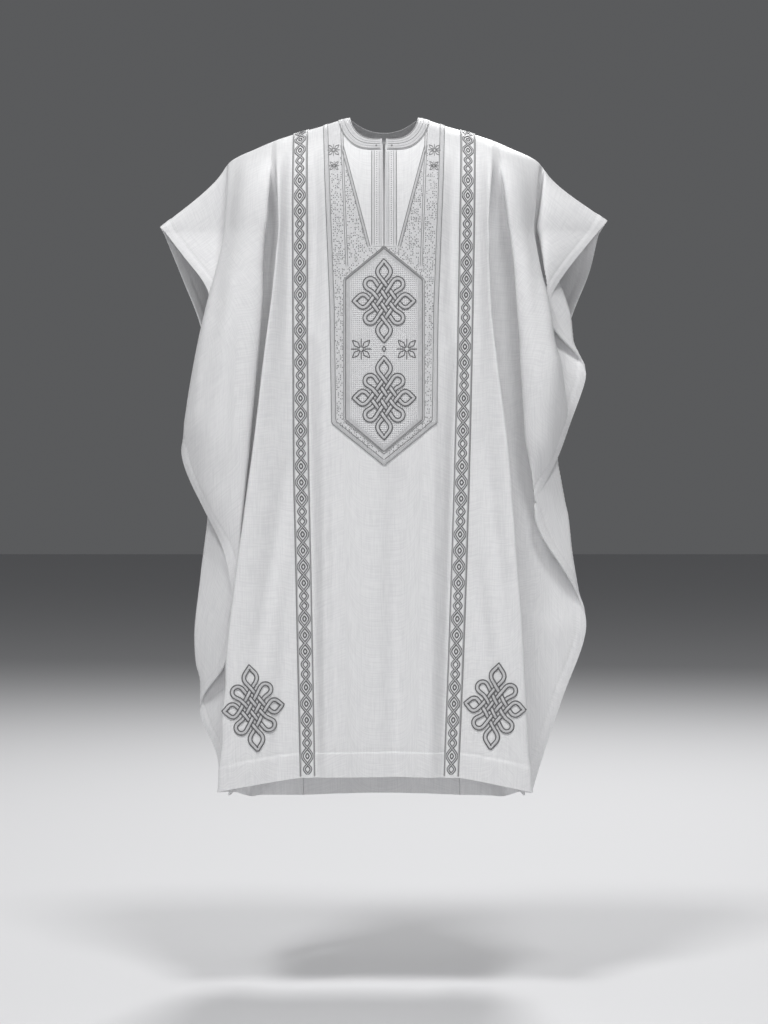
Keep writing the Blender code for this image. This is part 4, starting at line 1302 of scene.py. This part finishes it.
# ----- the yoke and the chest
YOKE_THREAD = 0.0009  # half the width of the threads of a yoke's borders
YOKE_LINES = (0.0336, 0.0372)  # from a yoke's outer edge to its two inner lines
YOKE_LINES_END = -0.276
CROSS_INSET = 0.0190  # from a yoke's outer edge to the middles of its small crosses
SEED_PITCH_OUT = 0.0033
SEED_PITCH_DOWN = 0.0037
SEED_INSET = 0.0108  # from a yoke's outer edge to its seed stitches
NECK_GROUND = 0.024  # from that edge to where they stop, beside the neckband
CROSS_FIELD = Corner(0.0310, -0.100)  # the crosses' field: its width from that edge, and its end
CHEST_PITCH = 0.0036  # of the grid of the chest piece
CHEST_MARGIN = 0.0075  # from the edge of the chest piece to the grid
CHEST_THREAD = 0.0010
CHEST_CENTRE = -0.4290  # the height of what lies between the two knots
CHEST_KNOTS = (-0.3400, -0.5190)  # their heights


def sew_yoke(light, grey, side):
    """The borders of one arm of the yoke, its two inner lines and its two small crosses."""
    outer = [(side * c.out, c.height) for c in YOKE_OUTER]
    vee = [(side * c.out, c.height) for c in YOKE_INNER[2:4]]
    below = [(side * c.out, c.height) for c in YOKE_INNER[4:8]]

    def line(thread, flat, half_width):
        sew_line(thread, flat, half_width, 0.0010, spacing=0.0045)

    for distance, thread in ((0.0012, grey), (0.0040, light), (0.0066, light), (0.0092, grey)):
        beside = offset_line(outer, -side * distance)
        beside[-1] = (side * 0.0006, YOKE_OUTER[-1].height + distance * 1.30)
        line(thread, beside, YOKE_THREAD)
    for distance, thread in ((0.0010, grey), (0.0034, light), (0.0058, grey)):
        line(thread, offset_line(vee, side * distance), YOKE_THREAD)
    for distance, thread in ((0.0014, grey), (0.0040, light)):
        line(thread, offset_line(below, side * distance), YOKE_THREAD)
    heights = np.linspace(0.002, YOKE_LINES_END, 20)
    for distance in YOKE_LINES:
        beside = side * (edge_at(YOKE_OUTER, heights) - distance)
        line(grey, np.stack([beside, heights], 1), 0.0007)
    for height, size in ((-0.0555, 0.0240), (-0.0867, 0.0190)):
        place = np.array((side * (float(edge_at(YOKE_OUTER, height)) - CROSS_INSET), height))
        sew_flourish(grey, place, size)


def yoke_seeds(white, dark, side, chance):
    """Seed stitches over the ground of one arm, in wandering rows."""
    out, height = (a.ravel() for a in np.meshgrid(
        np.arange(0.004, 0.112, SEED_PITCH_OUT), np.arange(0.004, -0.640, -SEED_PITCH_DOWN)
    ))
    out = out + chance.uniform(-0.0007, 0.0007, out.size)
    height = height + chance.uniform(-0.0008, 0.0008, out.size)
    edge = edge_at(YOKE_OUTER, height)
    beside_neck = height > YOKE_INNER[2].height
    inner = np.where(beside_neck, edge - NECK_GROUND, edge_at(YOKE_INNER, height))
    crosses = (height > CROSS_FIELD.height) & (out > edge - CROSS_FIELD.out)
    from_lines = np.abs(edge - out - sum(YOKE_LINES) / 2)
    lines = (from_lines < 0.0034) & (height > YOKE_LINES_END - 0.004)
    slanting = (height < YOKE_INNER[6].height) | (np.abs(height + 0.272) < 0.030)
    margin = np.where(slanting, 0.0078, 0.0062)
    kept = (out < edge - SEED_INSET) & (out > inner + margin) & ~crosses & ~lines
    out, height = out[kept], height[kept]
    wander = 40 * np.sin(out * 420 + height * 150) + chance.uniform(-24, 24, out.size)
    length = chance.uniform(0.0026, 0.0039, out.size)
    flat = np.stack([side * out, height], 1)
    shaded = chance.random(out.size) < 0.50
    for thread, chosen in ((dark, shaded), (white, ~shaded)):
        seeds(thread, flat[chosen], np.radians(90 + wander[chosen]), length[chosen])


def sew_chest(light, dark, grey, white):
    """The grid of the chest piece, its borders, its two knots and what lies between them."""
    right = [(c.out, c.height) for c in CHEST_EDGE]
    outline = right + [(-out, height) for out, height in right[-2:0:-1]]
    for distance in (0.0014, 0.0046):
        edge = offset_line(outline, distance, True)
        sew_line(grey, edge, CHEST_THREAD, 0.0010, closed=True, spacing=0.0045)
    top, high, low, end = (corner.height for corner in CHEST_EDGE)
    for x in np.arange(-17, 18) * CHEST_PITCH:
        reach = (abs(x) + CHEST_MARGIN) / CHEST_EDGE[1].out
        ends = [(x, top + (high - top) * reach), (x, end + (low - end) * reach)]
        sew_line(white, ends, CHEST_THREAD, 0.0007, spacing=0.0080)
    for height in np.arange(top - 0.012, end + 0.012, -CHEST_PITCH):
        out = float(edge_at(CHEST_EDGE, height)) - CHEST_MARGIN
        sew_line(white, [(-out, height), (out, height)], CHEST_THREAD, 0.0008, spacing=0.0080)
    for height in CHEST_KNOTS:
        sew_knot(light, dark, CHEST_KNOT, (0.0, height), 0.0, TOP_OF_TRIM, on_front)
    for side, _ in SIDES:
        sew_flourish(dark, np.array((side * 0.0420, CHEST_CENTRE)), 0.0390)
    middle = diamond(0.0034, 0.0052, (0, CHEST_CENTRE))
    sew_line(dark, middle, 0.0014, 0.0012, closed=True, spacing=0.0016)


def sew_neck(light, grey):
    """Threads round the neckband and down the plackets, with a thread bar over the slit's top."""
    start = ring_start(1.7)
    for share, half_width, thread in (
        (0.06, 0.0007, grey), (0.28, 0.0006, light), (0.50, 0.0005, grey), (0.72, 0.0006, light),
        (0.94, 0.0009, grey),
    ):
        points, normals = on_ring(share, np.linspace(start, 2 * math.pi - start, 900))
        along = lengths_along(points)
        at = np.linspace(0, along[-1], int(along[-1] / 0.0030))
        both = read_at(at, along, np.hstack([points, normals]))
        add_cord(thread, both[:, :3], both[:, 3:], half_width, 0.0007, TOP_OF_RING, False)
    for side, _ in SIDES:
        for out, half_width, thread in (
            (0.0228, 0.0009, grey), (0.0202, 0.0006, light), (0.0178, 0.0005, grey),
            (0.0090, 0.0005, grey), (0.0066, 0.0007, light), (0.0044, 0.0007, light),
        ):
            ends = [(side * out, PLACKET_TOP - 0.001), (side * out, PLACKET_END + 0.001)]
            sew_line(thread, ends, half_width, 0.0007, spacing=0.0050)
        heights = np.arange(PLACKET_TOP - 0.004, PLACKET_END + 0.003, -0.0036)
        flat = np.stack([np.full(len(heights), side * PLACKET_SEEDS), heights], 1)
        seeds(grey, flat, np.zeros(len(heights)), 0.0030)
        knot = diamond(0.0010, 0.0012, (side * NECK_DOT.out, NECK_DOT.height))
        sew_line(grey, knot, 0.0012, 0.0014, TOP_OF_RING, True, 0.0010)
    bar = [(-1.6 * SLIT_HALF_TOP, NECK_BAR), (1.6 * SLIT_HALF_TOP, NECK_BAR)]
    sew_line(light, bar, 0.0008, 0.0010, TOP_OF_RING, False, 0.0012)


# ----- the corner knots
def side_surface(made):
    """The front layer of a side panel, as it is met from in front."""
    rows, columns = made.points.shape[:2]
    quads = grid_faces(rows, columns, 0, False)
    tree = BVHTree.FromPolygons(made.points.reshape(-1, 3).tolist(), quads.tolist())

    def surface(flat):
        points, normals = [], []
        for x, height in flat:
            place, normal, _, _ = tree.ray_cast(Vector((x, -1.0, height)), Vector((0, 1, 0)))
            points.append(place)
            normals.append(-normal if normal.y > 0 else normal)
        return np.array(points), np.array(normals)

    return surface


CornerPlace = namedtuple("CornerPlace", "x height turn")
CORNER_KNOTS = {
    LEFT: CornerPlace(-0.2395, -1.0895, math.radians(6)),
    RIGHT: CornerPlace(0.2030, -1.0865, math.radians(-6)),
}


# ----- hem stitches
STITCH_PITCH = 0.0040
HEM_STITCH = 0.0026  # its length
HEM_STITCH_SIZE = 0.00040  # half its width, and its height
HEM_STITCH_LIFT = CLOTH / 2 - 0.0001  # from the middle of the cloth to just inside its surface


def hem_stitches(thread, made):
    """A row of small stitches along the hem of a free edge and along the bottom hem."""
    grid = made.points
    lines = []
    if not np.all(made.edge_distance == NO_EDGE):
        column = int(np.argmin(np.abs(made.edge_distance[0] - EDGE_HEM)))
        lines.append((grid[:, column], grid[:, column - 1]))
    row = int(np.argmin(np.abs(made.hem_distance.mean(axis=1) - HEM_TURNING)))
    lines.append((grid[row], grid[row - 1]))
    for line, beside in lines:
        along = lengths_along(line)
        at = np.arange(STITCH_PITCH, along[-1] - STITCH_PITCH, STITCH_PITCH)
        place, across, direction = (
            read_at(at, along, table) for table in (line, line - beside, np.gradient(line, axis=0))
        )
        normal = unit(np.cross(direction, across))
        for way in (1, -1):
            add_stitches(thread, place, normal * way, direction, HEM_STITCH, HEM_STITCH_SIZE,
                         HEM_STITCH_SIZE, HEM_STITCH_LIFT)


# ===== finishes
# Threads in a metre of the weave, uneven threads in a metre, and how far those stand out.
DAMASK_WEAVE = (330, 420, 0.00060)
GROUND_WEAVE = (190, 900, 0.00040)


def add_node(tree, kind, values, links):
    """A node with values set on some of its inputs, and other nodes' outputs linked to others."""
    node = tree.nodes.new(kind)
    for socket, value in values.items():
        node.inputs[socket].default_value = value
    for socket, output in links.items():
        tree.links.new(output, node.inputs[socket])
    return node


def flat_places(tree):
    """The places on the flat cloth, in metres."""
    node = add_node(tree, "ShaderNodeUVMap", {}, {})
    node.uv_map = "flat"
    return node.outputs["UV"]


def set_tint(tree, shader, dark, light, ends, share):
    """Colours a shader between two colours, by a share that is read between two ends."""
    node = add_node(tree, "ShaderNodeValToRGB", {}, {"Fac": share})
    for element, position, colour in zip(node.color_ramp.elements, ends, (dark, light)):
        element.position = position
        element.color = (*colour, 1)
    tree.links.new(node.outputs["Color"], shader.inputs["Base Color"])


def cloth_finish(name, colour, dark_colour, roughness, sheen, weave, slub, slub_depth):
    """Woven cloth: uneven threads in both directions, with a slight change of colour."""
    made, shader = new_material(name, {
        "Sheen Weight": sheen, "Sheen Roughness": 0.35, "Specular IOR Level": 0.42,
    })
    tree = made.node_tree
    place = flat_places(tree)

    def noise(x, y, detail):
        stretched = add_node(tree, "ShaderNodeMapping", {"Scale": (x, y, 1)}, {"Vector": place})
        values = {"Scale": 1.0, "Detail": detail}
        links = {"Vector": stretched.outputs["Vector"]}
        return add_node(tree, "ShaderNodeTexNoise", values, links).outputs["Fac"]

    def waves(direction):
        values = {"Scale": weave, "Distortion": 0.6, "Detail": 1.0}
        node = add_node(tree, "ShaderNodeTexWave", values, {"Vector": place})
        node.bands_direction = direction
        return node.outputs["Fac"]

    def combined(operation, a, b):
        node = add_node(tree, "ShaderNodeMath", {}, {0: a, 1: b})
        node.operation = operation
        return node.outputs[0]

    def both_ways(operation, length):
        return combined(operation, noise(slub, slub / length, 3), noise(slub / length, slub, 3))

    threads = combined("MULTIPLY", waves("X"), waves("Y"))
    fine = add_node(tree, "ShaderNodeBump", {"Strength": 0.35, "Distance": 0.00018},
                    {"Height": threads})
    coarse = add_node(tree, "ShaderNodeBump", {"Strength": 0.5, "Distance": slub_depth},
                      {"Height": both_ways("ADD", 14), "Normal": fine.outputs["Normal"]})
    tree.links.new(coarse.outputs["Normal"], shader.inputs["Normal"])
    set_tint(tree, shader, dark_colour, colour, (0.15, 0.33), both_ways("MULTIPLY", 18))
    shine = add_node(tree, "ShaderNodeMapRange",
                     {"To Min": roughness - 0.07, "To Max": roughness + 0.07},
                     {"Value": noise(slub / 9, slub, 2)})
    tree.links.new(shine.outputs["Result"], shader.inputs["Roughness"])
    return made


def thread_finish(name, colour, dark_colour, roughness, sheen):
    """Twisted thread: slanting strands, lighter on their crowns as a painted highlight and darker
    between them as painted shade.
    """
    made, shader = new_material(name, {
        "Roughness": roughness, "Sheen Weight": sheen, "Specular IOR Level": 0.55,
    })
    tree = made.node_tree
    strands = add_node(tree, "ShaderNodeTexWave", {"Scale": 300, "Distortion": 1.2},
                       {"Vector": flat_places(tree)})
    strands.bands_direction = "DIAGONAL"
    strand_height_and_painted_light = strands.outputs["Fac"]
    bump = add_node(tree, "ShaderNodeBump", {"Strength": 0.5, "Distance": 0.0002},
                    {"Height": strand_height_and_painted_light})
    tree.links.new(bump.outputs["Normal"], shader.inputs["Normal"])
    # painted light: the colour runs from dark_colour, painted shade between the strands, to colour,
    # a painted highlight on their crowns
    set_tint(tree, shader, dark_colour, colour, (0, 1), strand_height_and_painted_light)
    return made


# ===== the robe
# The widths and lengths that the panels are cut to. A side panel hangs in folds whose cloth is not
# equally wide at every height, so its width here is the mean of them: its area over its length.
FLAT_SIDES = {
    "front": {LEFT: (0.40, 1.26), RIGHT: (0.38, 1.26)},
    "back": {LEFT: (0.26, 1.32), RIGHT: (0.24, 1.32)},
}
FLAT_MIDDLES = {"front": (0.315, 1.28), "back": (0.315, 1.34)}


def make_panels(white, hem_thread):
    """The six widths of white damask, and the front side panels for what is sewn on them."""
    kept = {}
    for side, word in SIDES:
        for facing in (FRONT, BACK):
            made = side_sheet(facing, side)
            flip = (side == LEFT) == (facing is FRONT)
            name = word + "_" + facing.layer + "_side"
            thing = panel_object("cloth_" + name, [(made, flip)], facing)
            sheet_of_cloth(thing, name, white, FLAT_SIDES[facing.layer][side])
            hem_stitches(hem_thread, made)
            if facing is FRONT:
                kept[side] = made
    for facing, other in ((FRONT, BACK), (BACK, FRONT)):
        flips = [(side == LEFT) != (facing is FRONT) for side, _ in SIDES]
        grids = [middle_half(facing, side) for side, _ in SIDES]
        name = facing.layer + "_panel"
        thing = panel_object("cloth_" + name, list(zip(grids, flips)), facing)
        flat = FLAT_MIDDLES[facing.layer]
        sheet_of_cloth(thing, name, white, flat,
                       area=middle_area(facing, flat[1]))
        for made in grids:
            hem_stitches(hem_thread, made)
    return kept


def middle_area(facing, length):
    """The area that a tapered middle panel is cut to, less its part of the neck hole."""
    heights = np.linspace(0, facing.hem, 60)
    width = sum(smooth(facing.seam[side], heights)[:, 0].mean() for side, _ in SIDES)
    share = np.linspace(0, 1, 400)
    edge = (1 - share ** facing.squareness) ** (1 / facing.squareness)
    return float(width * length - 2 * NECK_HOLE.half_width * facing.hole_depth * edge.mean())


def flat_strip(width, x, top, end):
    """The width of a strip, and the length of cloth under it between two heights."""
    steps, lengths = lengths_down(x)
    first, last = np.interp([float(step_of(x, top)), float(step_of(x, end))], steps, lengths)
    return width, float(last - first)


def box_of(outline):
    """The width and length of the rectangle that an outline is cut from."""
    x, y = np.asarray(outline, float).T
    return float(np.ptp(x)), float(np.ptp(y))


def make_trims(white, grounds):
    """The pieces sewn on the front, on the surface that they are sewn to."""
    yoke_outline = YOKE_OUTER + YOKE_INNER[::-1][1:]
    chest_outline = CHEST_EDGE + [Corner(-c.out, c.height) for c in CHEST_EDGE[2:0:-1]]
    turns = np.linspace(0, 2 * math.pi, 240, endpoint=False)
    ring_inner, ring_middle, ring_outer = (on_ring(share, turns)[0] for share in (0, 0.5, 1))
    steps = np.linalg.norm(np.roll(ring_middle, -1, axis=0) - ring_middle, axis=1)
    ring_area = float(np.sum(steps * np.linalg.norm(ring_outer - ring_inner, axis=1)))
    front_end, shoulder_end, back_end = on_ring(1, np.radians([0, 90, 180]))[0][:, 1:]
    ring_length = float(np.linalg.norm(front_end - shoulder_end)
                        + np.linalg.norm(back_end - shoulder_end))
    placket_width = PLACKET_OUTER - (PLACKET_INNER[0].out + PLACKET_INNER[1].out) / 2
    for side, word in SIDES:
        thing = strip(
            "sewn_" + word + "_yoke", steps_between(STRIP_START, YOKE_END, STRIP_SPACING),
            sided(side, lambda h: edge_at(YOKE_INNER, h), lambda h: edge_at(YOKE_OUTER, h)), 16,
        )
        sheet_of_cloth(thing, word + "_yoke", grounds["yoke"],
                       box_of(yoke_outline), area=area_inside(yoke_outline))
        top = float(step_of(BESIDE_SLIT, PLACKET_TOP))
        thing = strip(
            "sewn_" + word + "_placket", steps_between(top, PLACKET_END, STRIP_SPACING),
            sided(side, lambda h: edge_at(PLACKET_INNER, h), lambda h: PLACKET_OUTER + 0 * h), 6,
        )
        sheet_of_cloth(thing, word + "_placket", grounds["placket"],
                       flat_strip(placket_width, side * PLACKET_MIDDLE, PLACKET_TOP, PLACKET_END))
        seam = FRONT_SEAM[side]
        hem = FRONT_HEM - HEM_RISE
        thing = strip(
            "sewn_" + word + "_band", steps_between(STRIP_START, hem, BAND_SPACING),
            sided(side, lambda h: smooth(seam, h)[..., 0] - BAND_HALF,
                  lambda h: smooth(seam, h)[..., 0] + BAND_HALF), 9,
        )
        x = side * BAND_OUT
        sheet_of_cloth(thing, word + "_band", white,
                       flat_strip(2 * BAND_HALF, x, float(shoulder_height(x)), hem))
    chest_top = float(step_of(BESIDE_SLIT, CHEST_EDGE[0].height))
    thing = strip(
        "sewn_chest_panel",
        steps_between(chest_top, CHEST_EDGE[-1].height, STRIP_SPACING),
        lambda h: (-edge_at(CHEST_EDGE, h), edge_at(CHEST_EDGE, h)), 26,
    )
    sheet_of_cloth(thing, "chest_panel", grounds["chest"],
                   box_of(chest_outline), area=area_inside(chest_outline))
    sheet_of_cloth(neckband(), "neckband", grounds["neckband"],
                   (2 * NECKBAND_OUTER.half_width, ring_length), area=ring_area)


def main():
    """Makes the camera, the light, the floor and the robe."""
    make_camera()
    make_light()
    make_floor()
    white = cloth_finish(
        "white_damask", (0.90, 0.90, 0.905), (0.82, 0.82, 0.83), 0.48, 0.12, *DAMASK_WEAVE
    )
    grounds = {
        name: cloth_finish(name + "_ground", light, dark, roughness, sheen, *GROUND_WEAVE)
        for name, light, dark, roughness, sheen in (
            ("yoke", (0.82, 0.82, 0.83), (0.68, 0.68, 0.69), 0.62, 0.10),
            ("chest", (0.65, 0.65, 0.66), (0.53, 0.53, 0.54), 0.62, 0.10),
            ("neckband", (0.70, 0.70, 0.71), (0.57, 0.57, 0.58), 0.60, 0.12),
            ("placket", (0.88, 0.88, 0.89), (0.74, 0.74, 0.75), 0.60, 0.12),
        )
    }
    # Each thread's first colour is a painted highlight on the crowns of its strands, and its second
    # is painted shade between them.
    silver = thread_finish("silver_thread", (0.74, 0.74, 0.75), (0.58, 0.58, 0.59), 0.42, 0.15)
    shade = thread_finish("shaded_thread", (0.17, 0.17, 0.175), (0.10, 0.10, 0.105), 0.48, 0.10)
    middle_grey = thread_finish("grey_thread", (0.36, 0.36, 0.365), (0.24, 0.24, 0.245), 0.50, 0.10)
    pale = thread_finish("pale_thread", (0.90, 0.90, 0.91), (0.76, 0.76, 0.77), 0.55, 0.08)
    cotton = thread_finish("white_thread", (0.82, 0.82, 0.82), (0.66, 0.66, 0.67), 0.60, 0.05)
    chance = np.random.default_rng(20)
    hem_thread, grey_thread, pale_thread, seed_thread = Thread(), Thread(), Thread(), Thread()
    kept = make_panels(white, hem_thread)
    make_trims(white, grounds)
    for side, word in SIDES:
        light, dark = Thread(), Thread()
        sew_band(light, dark, grey_thread, side)
        light.made("thread_" + word + "_band", "silver_embroidery", silver)
        dark.made("thread_" + word + "_band_lines", "silver_embroidery", shade)
        light = Thread()
        sew_yoke(light, grey_thread, side)
        yoke_seeds(pale_thread, seed_thread, side, chance)
        light.made("thread_" + word + "_yoke", "silver_embroidery", silver)
        light, dark = Thread(), Thread()
        spot = CORNER_KNOTS[side]
        sew_knot(light, dark, CORNER_KNOT, (spot.x, spot.height), spot.turn,
                 CLOTH / 2, side_surface(kept[side]))
        light.made("thread_" + word + "_corner", "silver_embroidery", silver)
        dark.made("thread_" + word + "_corner_lines", "silver_embroidery", shade)
    light, dark = Thread(), Thread()
    sew_chest(light, dark, grey_thread, pale_thread)
    sew_neck(light, grey_thread)
    light.made("thread_chest_and_neck", "silver_embroidery", silver)
    dark.made("thread_chest_lines", "silver_embroidery", shade)
    grey_thread.made("thread_grey", "silver_embroidery", middle_grey)
    seed_thread.made("thread_seeds", "silver_embroidery", shade)
    pale_thread.made("thread_pale", "pale_embroidery", pale)
    hem_thread.made("thread_hems", "white_damask", cotton)


main()
